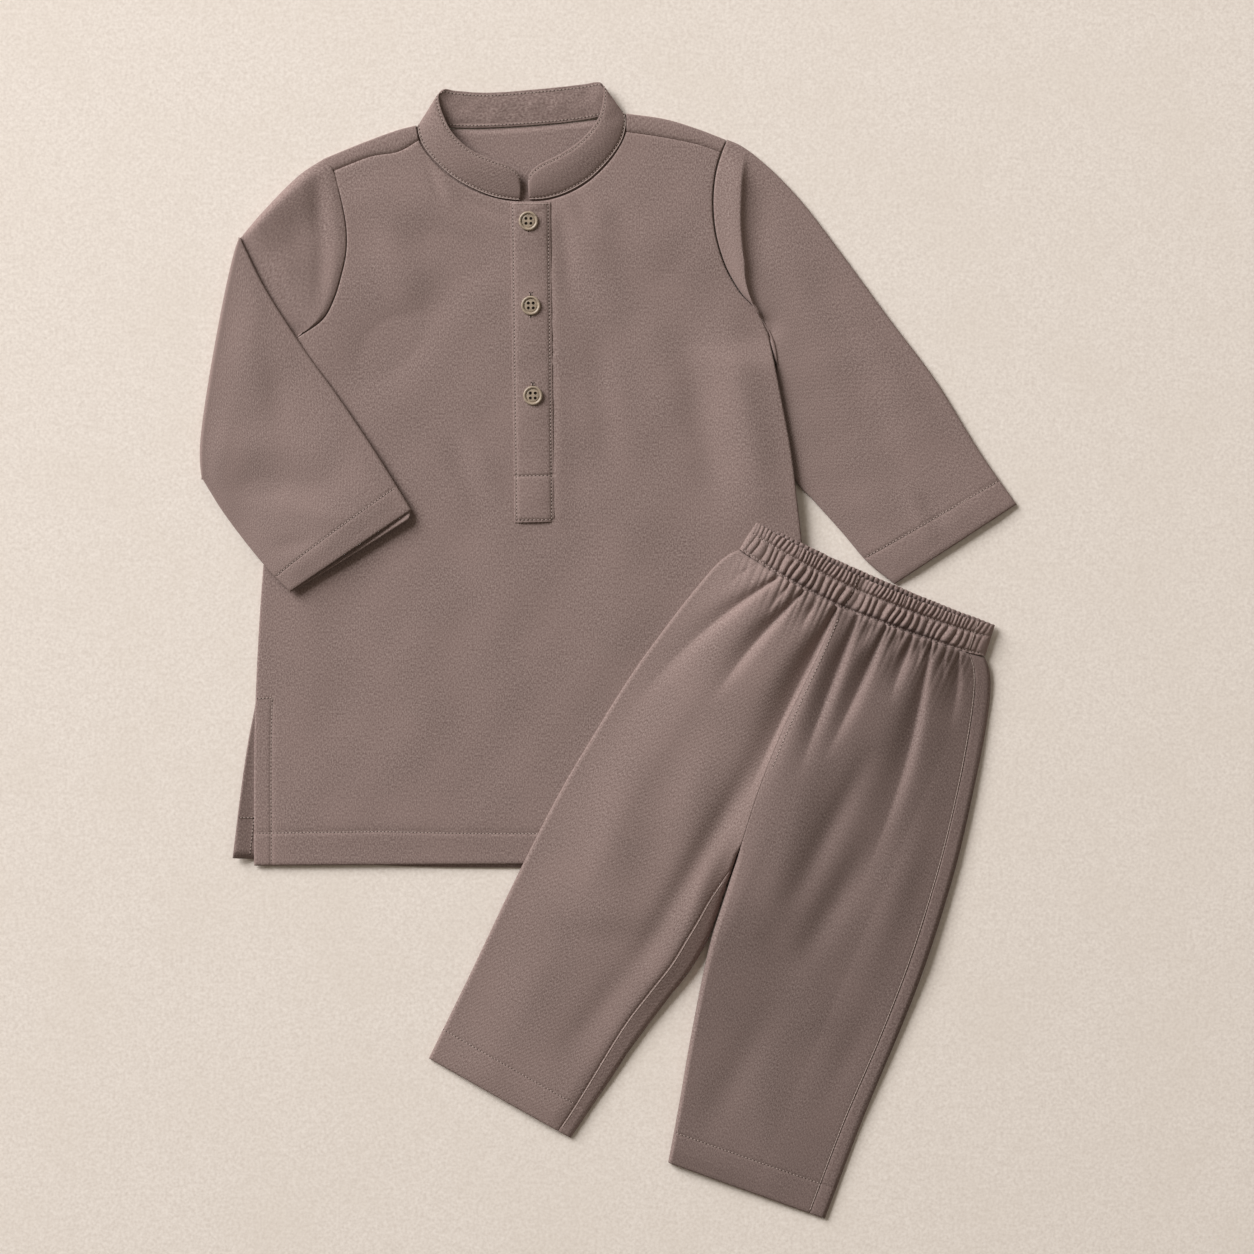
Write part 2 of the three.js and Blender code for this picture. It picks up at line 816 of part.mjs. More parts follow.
// Folds that fall from the gathered waist, as troughs: start, end, depth and half width
const troughs = table('x0 y0 x1 y1 bow depth width', [
  [-51, -26, -101, -138, -6, 5.2, 6.0],
  [-34, -28, -55, -97, -2, 3.4, 4.4],
  [-14, -28, -24, -135, -1, 5.2, 5.2],
  [2, -26, 5, -118, 0, 4.0, 4.6],
  [19.5, -26, 17, -97, 1, 3.2, 4.4],
  [36, -26, 38.5, -54, 0, 2.4, 3.6],
  [48, -26, 64, -93, 2, 4.4, 5.0],
  [65.5, -24, 76.5, -52, 2, 2.6, 4.2],
]);

function troughDepth(x, y) {
  let sum = 0;
  for (const { x0, y0, x1, y1, bow, depth, width } of troughs) {
    const down = clamp((y - y0) / (y1 - y0), -0.1, 1.1);
    const centre = lerp(x0, x1, down) + bow * Math.sin(Math.PI * clamp(down, 0, 1));
    const fade = 1 - smoothstep(down, 0.25, 1.1);
    const spread = width * (1 + 0.8 * clamp(down, 0, 1));
    sum += depth * fade * Math.exp(-(((x - centre) / spread) ** 2));
  }
  return sum;
}

// How far the front stands above the back: full at the gathers, easing to the knee
function trouserFullness(x, y, edge) {
  const full = LEG_FULLNESS + HIP_FULLNESS * Math.exp((y + BAND_HEIGHT) / FULLNESS_FADE);
  return Math.max(full - troughDepth(x, y), LEAST_FULLNESS) * edge;
}

function legPatch({ outer, inner }) {
  const waistEnd = centreSeam[0];
  const inside = seamLine([...centreSeam, ...inner.slice(1)]);
  const outside = seamLine(outer);
  const top = (t) => {
    const line = seamLine(bandFoot);
    const endShare = outer[0].x < 0 ? 0 : 1;
    const centreShare = (waistEnd.x - bandFoot[0].x) / (bandFoot.at(-1).x - bandFoot[0].x);
    return line(lerp(endShare, centreShare, t)).add(new THREE.Vector2(0, -2 * HALF_GAP));
  };
  return {
    inside,
    outside,
    flat: clothPatch({
      bottom: top,
      top: straight(outer.at(-1), inner.at(-1)),
      left: outside,
      right: inside,
    }),
  };
}

function trouserPanel(leg, isFront) {
  const { inside, outside, flat } = legPatch(leg);
  return clothWall({
    us: stations([isFront ? 16 : 8]),
    vs: stations([9, 12], [0, 0.35, 1]),
    point: (u, v, depth) => {
      const innerPoint = inside(v);
      const closing = smoothstep(-innerPoint.y, -CROTCH_HEIGHT + 1, -CROTCH_HEIGHT + CROTCH_BLEND);
      const width = outside(v).distanceTo(innerPoint);
      const sectionWidth = width + (1 - closing) * EDGE_SOFTNESS;
      const half = halfRound(sectionWidth);
      const open = QUARTER * (1 - closing);
      const innerSeam = half - open - closing * leg.seamInner;
      const innerUnder = half + open - closing * leg.seamInner;
      const along = isFront
        ? lerp(leg.seamOuter + HALF_GAP, innerSeam - HALF_GAP, u)
        : lerp(innerUnder + HALF_GAP, 2 * half + leg.seamOuter - HALF_GAP, u);
      const { across, level } = tubeSection(along, sectionWidth, depth);
      const share = Math.min(across / width, 1 - HALF_GAP / width);
      const local = flat(share, v);
      const world = toWorld(local);
      const outerEdge = smoothstep(across, 0, 24);
      const innerEdge = lerp(1, smoothstep(width - across, 0, 16), closing);
      const relief = level > 0 ? trouserFullness(local.x, local.y, outerEdge * innerEdge) : 0;
      const height = restHeight(world) + tubeHeight(level, depth, FLAT_TUBE) + relief * level;
      return [world.x, world.y, height];
    },
  });
}

// The waistband: a gathered casing, ribbed all along its front, with a heading above the elastic
function waistband() {
  const ribColumns = 4 * WAIST_RIBS;
  const frontStart = 0.02;
  const frontEnd = 0.62;
  const stitchShare = 1 - HEADING_HEIGHT / BAND_HEIGHT;
  const us = stations([2, ribColumns, 2, 14], [0, frontStart, frontEnd, 0.64, 1]);
  return clothWall({
    us,
    vs: stations([1, 1, 2], [0, 0.12, stitchShare, 1]),
    point: (u, v, depth) => {
      const width = lerp(158, 154, v);
      const half = halfRound(width);
      const start = -QUARTER;
      const marks = [
        { share: 0, along: start + HALF_GAP },
        { share: frontStart, along: QUARTER },
        { share: frontEnd, along: half - QUARTER },
        { share: 0.64, along: half + QUARTER },
        { share: 1, along: 2 * half + start - HALF_GAP },
      ];
      let i = 0;
      while (i < marks.length - 2 && marks[i + 1].share < u) i += 1;
      const [a, b] = [marks[i], marks[i + 1]];
      const t = clamp((u - a.share) / (b.share - a.share), 0, 1);
      const { across, level } = tubeSection(lerp(a.along, b.along, t), width, depth);
      const share = across / width;
      const local = bandPatch(share, v);
      const onFront = Math.max(level, 0);
      const belly = Math.sqrt(Math.max(Math.sin(Math.PI * clamp(share, 0, 1)), 0));
      local.y -= FRONT_TOP_DROP * onFront * v * belly;
      const world = toWorld(local);
      const rib = 0.5 - 0.5 * Math.cos(2 * Math.PI * WAIST_RIBS * share);
      const stitchDip = STITCH_DIP * Math.exp(-(((v - stitchShare) / 0.12) ** 2));
      const relief = onFront * belly * (WAIST_FULLNESS + RIB_HEIGHT * rib - stitchDip);
      return [
        world.x,
        world.y,
        restHeight(world) + tubeHeight(level, depth, FLAT_TUBE) + relief,
      ];
    },
  });
}

// A four-hole button with a raised rim and a dished middle
function toSolid(geometry) {
  const plain = geometry.clone();
  plain.deleteAttribute('normal');
  plain.deleteAttribute('uv');
  const merged = mergeVertices(plain, 1e-4);
  return new wasm.Manifold(
    new wasm.Mesh({
      numProp: 3,
      vertProperties: Float32Array.from(merged.attributes.position.array),
      triVerts: Uint32Array.from(merged.index.array),
    }),
  );
}

function fromSolid(solid) {
  const { vertProperties, triVerts } = solid.getMesh();
  const geometry = new THREE.BufferGeometry();
  geometry.setAttribute('position', new THREE.Float32BufferAttribute(vertProperties, 3));
  geometry.setIndex([...triVerts]);
  geometry.computeVertexNormals();
  return geometry;
}

function button() {
  const radius = BUTTON_DIAMETER / 2;
  const profile = [
    [0, 0],
    [radius - 0.9, 0],
    [radius, 0.8],
    [radius, BUTTON_THICKNESS - 0.5],
    [radius - 0.6, BUTTON_THICKNESS],
    [radius - 1.4, BUTTON_THICKNESS - 0.15],
    [radius - 2.1, BUTTON_THICKNESS - BUTTON_DISH],
    [0, BUTTON_THICKNESS - BUTTON_DISH],
  ].map(([r, z]) => new THREE.Vector2(r, z));
  const body = new THREE.LatheGeometry(profile, 18);
  body.rotateX(Math.PI / 2);
  let solid = toSolid(body);
  for (const x of [-1, 1]) {
    for (const y of [-1, 1]) {
      const radiusOfHole = BUTTON_HOLE_DIAMETER / 2;
      const hole = new THREE.CylinderGeometry(radiusOfHole, radiusOfHole, 3 * BUTTON_THICKNESS, 8);
      hole.rotateX(Math.PI / 2);
      hole.translate((x * BUTTON_HOLE_SPACING) / 2, (y * BUTTON_HOLE_SPACING) / 2, 0);
      solid = solid.subtract(toSolid(hole));
    }
  }
  return fromSolid(solid);
}

const buttonPlaces = table('name x y', [
  ['button_top', -46.2, 253.2],
  ['button_middle', -44.8, 203.4],
  ['button_bottom', -43.6, 150.4],
]);

// The garment as a group of named pieces
function finish(colour, roughness) {
  return new THREE.MeshStandardMaterial({ color: colour, roughness, metalness: 0 });
}

function piece(name, geometry, material) {
  const mesh = new THREE.Mesh(geometry, material);
  mesh.name = name;
  return mesh;
}

const cloth = () => finish(COLOURS.cloth, 0.92);

const tunic = new THREE.Group();
tunic.add(
  piece('tunic_back', tunicBack(), cloth()),
  piece('tunic_front', tunicFront(), cloth()),
  piece('placket', placket(), finish(COLOURS.placket, 0.92)),
  piece('collar', collar(), cloth()),
  piece('sleeve_left', sleeveLeft(), cloth()),
  piece('sleeve_right', sleeveRight(), cloth()),
);
for (const { name, x, y } of buttonPlaces) {
  const mesh = piece(name, button(), finish(COLOURS.button, 0.35));
  mesh.position.set(x, y, PLACKET_TOP + SEAM_GAP);
  tunic.add(mesh);
}

const trousers = new THREE.Group();
trousers.add(piece('waistband', waistband(), cloth()));
for (const [side, leg] of Object.entries(legs)) {
  trousers.add(piece(`leg_${side}_front`, trouserPanel(leg, true), cloth()));
  trousers.add(piece(`leg_${side}_back`, trouserPanel(leg, false), cloth()));
}

const garment = new THREE.Group();
garment.add(tunic, trousers);

export default garment;
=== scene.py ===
"""Baby shalwar kameez laid flat: the looks of every piece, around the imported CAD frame."""
import math
import random

import bmesh
import bpy
import numpy as np
from mathutils import Matrix, Vector


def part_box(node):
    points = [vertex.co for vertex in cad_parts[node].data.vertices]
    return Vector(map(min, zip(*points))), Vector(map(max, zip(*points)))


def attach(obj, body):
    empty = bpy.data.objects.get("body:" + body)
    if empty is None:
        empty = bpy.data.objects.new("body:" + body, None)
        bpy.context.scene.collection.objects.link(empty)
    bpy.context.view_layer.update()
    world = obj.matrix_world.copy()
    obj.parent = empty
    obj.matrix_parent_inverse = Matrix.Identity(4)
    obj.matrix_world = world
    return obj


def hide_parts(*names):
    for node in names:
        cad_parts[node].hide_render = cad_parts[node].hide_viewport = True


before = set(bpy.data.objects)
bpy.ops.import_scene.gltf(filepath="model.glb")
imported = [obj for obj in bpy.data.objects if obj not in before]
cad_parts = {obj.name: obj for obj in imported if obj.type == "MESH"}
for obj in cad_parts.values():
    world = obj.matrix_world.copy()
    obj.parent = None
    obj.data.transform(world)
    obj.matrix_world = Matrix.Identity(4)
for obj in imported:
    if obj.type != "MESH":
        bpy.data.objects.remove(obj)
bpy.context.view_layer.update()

MM = 0.001

# Cloth and its layers, in millimetres as in the cutting sizes
CLOTH = 1.0
SHELL = 0.85
SEAM_GAP = 0.3
HALF_GAP = 0.05
FLAT_TUBE = 2 * CLOTH + SEAM_GAP
ON_TUNIC = FLAT_TUBE + SEAM_GAP
EDGE_SOFTNESS = 2.0
QUARTER = EDGE_SOFTNESS * 1.2
SHOULDER_RADIUS = FLAT_TUBE / 2
PLACKET_TOP = ON_TUNIC + CLOTH
COLLAR_WALL = 1.3
HEM = 19.0
CUFF_HEM = 17.0
SLIT_FACING = 10.0

# Sewing
STITCH_PITCH = 2.1
STITCH_LENGTH = 1.35
STITCH_WIDTH = 0.5
NEEDLE_HOLE = 0.65
# The cloth dips along a row of stitches: half width and depth
SEWN_DIP = 0.8, 0.55
PLACKET_DIP = 0.7, 0.45
CUFF_DIP = 0.8, 0.35
FOLDED_CUFF_DIP = 0.8, 0.3
TROUSER_HEM_DIP = 0.8, 0.4
CASING_DIP = 0.8, 1.3

# Trousers
TROUSER_TURN = math.radians(-23.5)
TROUSER_ORIGIN = np.array([156.5, 46.0])
ACROSS_TROUSERS = (0.917, -0.399)
WAIST_WIDTH, WAIST_TAPER = 158, 4
WAIST_RIBS = 36
RIB_HEIGHT = 3.3
WAIST_FULLNESS = 3.6
HEADING_HEIGHT = 7.0
HEADING_RUFFLE, RUFFLE_PITCH = 2.0, 2.6
BAND_HEIGHT = 19.5
HIP_FULLNESS = 8.2
LEG_FULLNESS = 1.3
LEAST_FULLNESS = 0.6
FULLNESS_FADE = 66.0
TROUGH_SCALE = 7.0
CROTCH_DOWN = 174.4
CROTCH_BLEND = 12.0
INSEAM_START, INSEAM_FULL = 188.0, 250.0
SIDE_SEAM_IN = 10.0
INSEAM_IN = 12.5
CASING_SEAM_AT, CASING_SEAM_WIDTH = 73.5, 5.4
CASING_FOOT, CASING_PINCH = 1.0, 1.1
PUCKER_HEIGHT, PUCKER_REACH = 2.6, 10
# The cloth stands highest beside the centre seam and falls away to both sides
TENT_AT, TENT_HEIGHT, TENT_ROUNDING, TENT_HIGHEST = -2.0, 6.6, 6, 7
TENT_FALL_RIGHT, TENT_REACH_LEFT = 11.5, 54


# Lines and forms

def mix(a, b, t):
    return a + (b - a) * np.asarray(t)[..., None]


def smoothstep(x, low, high):
    t = np.clip((np.asarray(x, float) - low) / (high - low), 0, 1)
    return t * t * (3 - 2 * t)


def smooth_line(rows, steps=40):
    """A smooth line through the rows, from 0 to 1 by its length, as in the part's source."""
    points = np.array(rows, float)
    points = np.vstack([2 * points[0] - points[1], points, 2 * points[-1] - points[-2]])
    s = np.linspace(0, 1, steps, endpoint=False)[:, None]
    dense = []
    for p0, p1, p2, p3 in zip(points, points[1:], points[2:], points[3:]):
        d0, d1, d2 = (max(np.linalg.norm(b - a), 1e-9) ** 0.5
                      for a, b in ((p0, p1), (p1, p2), (p2, p3)))
        t1 = ((p1 - p0) / d0 - (p2 - p0) / (d0 + d1) + (p2 - p1) / d1) * d1
        t2 = ((p2 - p1) / d1 - (p3 - p1) / (d1 + d2) + (p3 - p2) / d2) * d1
        dense.append(p1 * (2 * s**3 - 3 * s**2 + 1) + p2 * (3 * s**2 - 2 * s**3)
                     + t1 * (s**3 - 2 * s**2 + s) + t2 * (s**3 - s**2))
    dense = np.vstack([*dense, points[-2]])
    length = np.concatenate([[0], np.cumsum(np.linalg.norm(np.diff(dense, axis=0), axis=1))])
    share = length / length[-1]

    def line(t):
        t = np.clip(np.asarray(t, float), 0, 1)
        return np.stack([np.interp(t, share, column) for column in dense.T], -1)

    return line


def straight(a, b):
    return lambda t: mix(np.array(a, float), np.array(b, float), t)


def join_lines(*parts):
    """Lines end to end, each up to its own share of 0 to 1."""
    def line(t):
        t = np.asarray(t, float)
        out = np.zeros(t.shape + (2,))
        start = 0.0
        for end, part in parts:
            here = (t >= start - 1e-9) & (t <= end + 1e-9)
            out[here] = part((t[here] - start) / (end - start))
            start = end
        return out

    return line


def patch(bottom, top, left, right):
    """The flat form between four lines."""
    def form(u, v):
        zero, one = np.zeros_like(u), np.ones_like(u)
        across = mix(left(v), right(v), u)
        up = mix(bottom(u), top(u), v)
        corners = mix(mix(bottom(zero), bottom(one), u), mix(top(zero), top(one), u), v)
        return across + up - corners

    return form


def stations(breaks, counts):
    marks = [np.linspace(a, b, n, endpoint=False) for a, b, n in zip(breaks, breaks[1:], counts)]
    return np.concatenate([*marks, [breaks[-1]]])


def with_lines(base, lines, spread):
    """Stations with closer ones beside each line, so that a sewn line can dip there."""
    extra = [line + offset for line in lines for offset in np.array([-2, -1, 0, 1, 2]) * spread]
    close = [x for x in extra if base[0] < x < base[-1]]
    kept = [x for x in base if all(abs(x - c) > 0.9 * spread for c in close) or x in base[[0, -1]]]
    return np.array(sorted({round(float(x), 7) for x in [*kept, *close]}))


def dip(distance, width=0.8, depth=0.5):
    return -depth * np.exp(-(np.asarray(distance) / width) ** 2)


def edge_roll(distance):
    """Cloth turns down at a folded or sewn edge."""
    return dip(distance, 1.0, 0.55)


def seam_roll(distance):
    """Cloth turns down less at a seam, where the next piece holds it."""
    return dip(distance, 0.8, 0.32)


def ridges(x, y, rows):
    """Soft ridges and troughs: from x0,y0 to x1,y1, with height and half width in mm."""
    total = np.zeros_like(x)
    for x0, y0, x1, y1, height, width in rows:
        run = np.array([x1 - x0, y1 - y0])
        along = ((x - x0) * run[0] + (y - y0) * run[1]) / (run @ run)
        near = np.clip(along, 0, 1)
        off = np.hypot(x - x0 - near * run[0], y - y0 - near * run[1])
        ends = 0.35 + 0.65 * np.sin(np.pi * near)
        total += height * ends * np.exp(-(off / width) ** 2)
    return total


WAVE_COUNT, SHORTEST_WAVE, LONGEST_WAVE = 9, 26, 80


def unevenness(x, y, seed, size=1.0):
    """Cloth never lies quite flat: a few broad waves in mixed directions."""
    rng = random.Random(seed)
    total = np.zeros_like(x)
    for _ in range(WAVE_COUNT):
        angle = rng.uniform(0, math.pi)
        length = rng.uniform(SHORTEST_WAVE, LONGEST_WAVE)
        phase = rng.uniform(0, 2 * math.pi)
        total += np.sin((x * math.cos(angle) + y * math.sin(angle)) * 2 * math.pi / length + phase)
    return size * total / WAVE_COUNT


# Materials

def linear(hex_colour):
    parts = [int(hex_colour[i:i + 2], 16) / 255 for i in (1, 3, 5)]
    return [c / 12.92 if c <= 0.04045 else ((c + 0.055) / 1.055) ** 2.4 for c in parts] + [1]


def per_metre(size):
    """How many times a size in mm goes into a metre, which is a pattern's scale."""
    return 1000 / size


def counted_in(*sizes):
    """The scale that counts coordinates in the given sizes, which are in mm."""
    return [per_metre(size) for size in sizes] + [1] * (3 - len(sizes))


def new_material(name):
    material = bpy.data.materials.new(name)
    material.use_nodes = True
    material.node_tree.nodes.clear()
    return material


def add_node(material, kind, settings=None, inputs=None):
    """One node: its settings, and for each input a value, or the node or output that feeds it."""
    tree = material.node_tree
    node = tree.nodes.new(kind)
    for key, value in (settings or {}).items():
        setattr(node, key, value)
    for key, value in (inputs or {}).items():
        if isinstance(value, bpy.types.Node):
            value = value.outputs[0]
        if isinstance(value, bpy.types.NodeSocket):
            tree.links.new(value, node.inputs[key])
        else:
            node.inputs[key].default_value = value
    return node


# A mix of colours has several sockets of one name, so its sockets go by number
COLOURS = {"data_type": "RGBA"}
FACTOR, FIRST, SECOND, MIXED = 0, 6, 7, 2


# The cloth's patterns in mm: yarn and weft as they show, the twill's line, and cloudy patches
YARN, WEFT, TWILL_LINE, CLOUD = (0.75, 1.3), (1.5, 0.75), (5.2, 5.2), 38.0


def brushed_cotton_twill(name, tone_and_painted_shade):
    """Garment-dyed cotton twill, lightly brushed: matt, with a heathered grain where the yarns
    took the dye unevenly. The real threads are 0.3 mm; they are drawn at 0.8 mm to show.
    A last factor darkens the whole colour: a slight tone of the cloth and, on a panel that lies
    turned away from the light, painted shade."""
    m = new_material(name)
    grain = add_node(m, "ShaderNodeUVMap", {"uv_map": "grain"})
    yarn = add_node(m, "ShaderNodeMapping", {}, {"Vector": grain, "Scale": counted_in(*YARN)})
    weft = add_node(m, "ShaderNodeMapping", {}, {"Vector": grain, "Scale": counted_in(*WEFT)})
    rib = add_node(m, "ShaderNodeMapping", {}, {"Vector": grain, "Scale": counted_in(*TWILL_LINE)})
    heather = add_node(m, "ShaderNodeTexNoise", {}, {
        "Vector": yarn, "Scale": 1.0, "Detail": 2.0, "Roughness": 0.6})
    cross = add_node(m, "ShaderNodeTexNoise", {}, {
        "Vector": weft, "Scale": 1.0, "Detail": 2.0, "Roughness": 0.6})
    cloud = add_node(m, "ShaderNodeTexNoise", {}, {
        "Vector": grain, "Scale": per_metre(CLOUD), "Detail": 3.0, "Roughness": 0.55})
    twill = add_node(m, "ShaderNodeTexWave", {"bands_direction": "DIAGONAL"}, {
        "Vector": rib, "Scale": 1.0, "Distortion": 1.2, "Detail": 1.0}).outputs["Fac"]
    dyed = add_node(m, "ShaderNodeMapRange", {}, {
        "Value": heather, "From Min": 0.34, "From Max": 0.66})
    missed = add_node(m, "ShaderNodeMapRange", {}, {
        "Value": cross, "From Min": 0.5, "From Max": 0.8})
    washed = add_node(m, "ShaderNodeMapRange", {}, {
        "Value": cloud, "From Min": 0.35, "From Max": 0.7})
    base = add_node(m, "ShaderNodeMix", COLOURS, {
        FACTOR: dyed, FIRST: linear("#6f5c57"), SECOND: linear("#a08d87")}).outputs[MIXED]
    base = add_node(m, "ShaderNodeMix", COLOURS, {
        FACTOR: missed, FIRST: base, SECOND: linear("#7b6561")}).outputs[MIXED]
    paler = add_node(m, "ShaderNodeMix", COLOURS, {
        FACTOR: 0.35, FIRST: base, SECOND: linear("#947e78")}).outputs[MIXED]
    base = add_node(m, "ShaderNodeMix", COLOURS, {
        FACTOR: washed, FIRST: base, SECOND: paler}).outputs[MIXED]
    # Darkened by the factor: the cloth's own tone, and painted shade where a panel lies turned
    # away from the light
    base = add_node(m, "ShaderNodeMix", {**COLOURS, "blend_type": "MULTIPLY"}, {
        FACTOR: 1.0, FIRST: base,
        SECOND: (tone_and_painted_shade, tone_and_painted_shade, tone_and_painted_shade, 1)}).outputs[MIXED]
    threads = add_node(m, "ShaderNodeMix", COLOURS, {
        FACTOR: 0.35, FIRST: heather.outputs[0], SECOND: twill}).outputs[MIXED]
    weave = add_node(m, "ShaderNodeBump", {}, {
        "Strength": 0.3, "Distance": 0.0003, "Height": threads})
    fluff = add_node(m, "ShaderNodeBump", {}, {
        "Strength": 0.22, "Distance": 0.0004, "Height": cross, "Normal": weave})
    cloth = add_node(m, "ShaderNodeBsdfPrincipled", {}, {
        "Base Color": base, "Roughness": 0.92, "Specular IOR Level": 0.25,
        "Sheen Weight": 0.18, "Sheen Roughness": 0.55, "Sheen Tint": linear("#cbbab3"),
        "Normal": fluff})
    add_node(m, "ShaderNodeOutputMaterial", {}, {"Surface": cloth})
    return m


def spun_polyester_thread():
    """Core-spun sewing thread, dyed to match: a touch paler and shinier than the cloth."""
    m = new_material("spun polyester thread, matched")
    place = add_node(m, "ShaderNodeTexCoord").outputs["Object"]
    twist = add_node(m, "ShaderNodeTexNoise", {}, {
        "Vector": place, "Scale": per_metre(0.8), "Detail": 1.0})
    base = add_node(m, "ShaderNodeMix", COLOURS, {
        FACTOR: twist, FIRST: linear("#a08e86"), SECOND: linear("#b9a8a0")}).outputs[MIXED]
    thread = add_node(m, "ShaderNodeBsdfPrincipled", {}, {
        "Base Color": base, "Roughness": 0.7, "Specular IOR Level": 0.35,
        "Sheen Weight": 0.1})
    add_node(m, "ShaderNodeOutputMaterial", {}, {"Surface": thread})
    return m


def turned_polyester_button():
    """Cast polyester shirt button, turned and tumbled: satin, with a faint horn-like grain."""
    m = new_material("polyester button, khaki horn finish")
    place = add_node(m, "ShaderNodeTexCoord").outputs["Object"]
    drawn = add_node(m, "ShaderNodeMapping", {}, {
        "Vector": place, "Scale": counted_in(3.0, 1.2, 3.0)})
    grain = add_node(m, "ShaderNodeTexNoise", {}, {"Vector": drawn, "Scale": 1.0, "Detail": 3.0})
    horn = add_node(m, "ShaderNodeMapRange", {}, {
        "Value": grain, "From Min": 0.3, "From Max": 0.7})
    base = add_node(m, "ShaderNodeMix", COLOURS, {
        FACTOR: horn, FIRST: linear("#8f8070"), SECOND: linear("#ad9c88")}).outputs[MIXED]
    tumbled = add_node(m, "ShaderNodeTexNoise", {}, {
        "Vector": place, "Scale": per_metre(0.6), "Detail": 2.0})
    scuff = add_node(m, "ShaderNodeBump", {}, {
        "Strength": 0.15, "Distance": 0.0001, "Height": tumbled})
    resin = add_node(m, "ShaderNodeBsdfPrincipled", {}, {
        "Base Color": base, "Roughness": 0.38, "IOR": 1.5, "Normal": scuff})
    add_node(m, "ShaderNodeOutputMaterial", {}, {"Surface": resin})
    return m


def buttonhole_shadow():
    """Painted shade: the dark inside of a buttonhole's two layers of cotton, also used for needle
    holes and under a button's holes.
    """
    m = new_material("cut cotton edge, in shade")
    place = add_node(m, "ShaderNodeTexCoord").outputs["Object"]
    fray = add_node(m, "ShaderNodeTexNoise", {}, {
        "Vector": place, "Scale": per_metre(0.7), "Detail": 2.0})
    base = add_node(m, "ShaderNodeMix", COLOURS, {
        FACTOR: fray, FIRST: linear("#120d0b"), SECOND: linear("#2c2320")}).outputs[MIXED]
    edge = add_node(m, "ShaderNodeBsdfPrincipled", {}, {
        "Base Color": base, "Roughness": 0.95, "Specular IOR Level": 0.1})
    add_node(m, "ShaderNodeOutputMaterial", {}, {"Surface": edge})
    return m


def cream_paper():
    """Uncoated cream backdrop paper with a fine tooth and a faint cloudiness."""
    m = new_material("uncoated cream paper")
    place = add_node(m, "ShaderNodeTexCoord").outputs["Object"]
    tooth = add_node(m, "ShaderNodeTexNoise", {}, {
        "Vector": place, "Scale": per_metre(1.8), "Detail": 3.0, "Roughness": 0.6})
    cloud = add_node(m, "ShaderNodeTexNoise", {}, {
        "Vector": place, "Scale": per_metre(60.0), "Detail": 4.0, "Roughness": 0.6})
    fibres = add_node(m, "ShaderNodeMapRange", {}, {
        "Value": tooth, "From Min": 0.25, "From Max": 0.75})
    patches = add_node(m, "ShaderNodeMapRange", {}, {
        "Value": cloud, "From Min": 0.45, "From Max": 1.2})
    base = add_node(m, "ShaderNodeMix", COLOURS, {
        FACTOR: fibres, FIRST: linear("#d9cec4"), SECOND: linear("#f1e8df")}).outputs[MIXED]
    base = add_node(m, "ShaderNodeMix", COLOURS, {
        FACTOR: patches, FIRST: base, SECOND: linear("#e0d5c9")}).outputs[MIXED]
    relief = add_node(m, "ShaderNodeBump", {}, {
        "Strength": 0.2, "Distance": 0.0004, "Height": tooth})
    paper = add_node(m, "ShaderNodeBsdfPrincipled", {}, {
        "Base Color": base, "Roughness": 0.95, "Specular IOR Level": 0.1, "Normal": relief})
    add_node(m, "ShaderNodeOutputMaterial", {}, {"Surface": paper})
    return m


# Making pieces

def add_object(name, data):
    obj = bpy.data.objects.new(name, data)
    bpy.context.scene.collection.objects.link(obj)
    return obj


def object_from(name, bm):
    mesh = bpy.data.meshes.new(name)
    bm.to_mesh(mesh)
    bm.free()
    return add_object(name, mesh)


def turn_faces(mesh, way):
    """Right side of the cloth: up, down, or out, with a tube's lowest faces looking down and a
    ring's faces away from its middle."""
    count = len(mesh.polygons)
    centres, normals, areas = (np.empty(count * n, np.float32) for n in (3, 3, 1))
    mesh.polygons.foreach_get("center", centres)
    mesh.polygons.foreach_get("normal", normals)
    mesh.polygons.foreach_get("area", areas)
    centres, normals = centres.reshape(-1, 3), normals.reshape(-1, 3)
    if way == "out":
        low = centres[:, 2] <= np.quantile(centres[:, 2], 0.1)
        right = normals[low, 2] @ areas[low] < 0
    elif way == "ring":
        from_middle = centres[:, :2] - centres[:, :2].mean(0)
        right = (from_middle * normals[:, :2]).sum(1) @ areas > 0
    else:
        right = (normals[:, 2] @ areas > 0) == (way == "up")
    if not right:
        mesh.flip_normals()


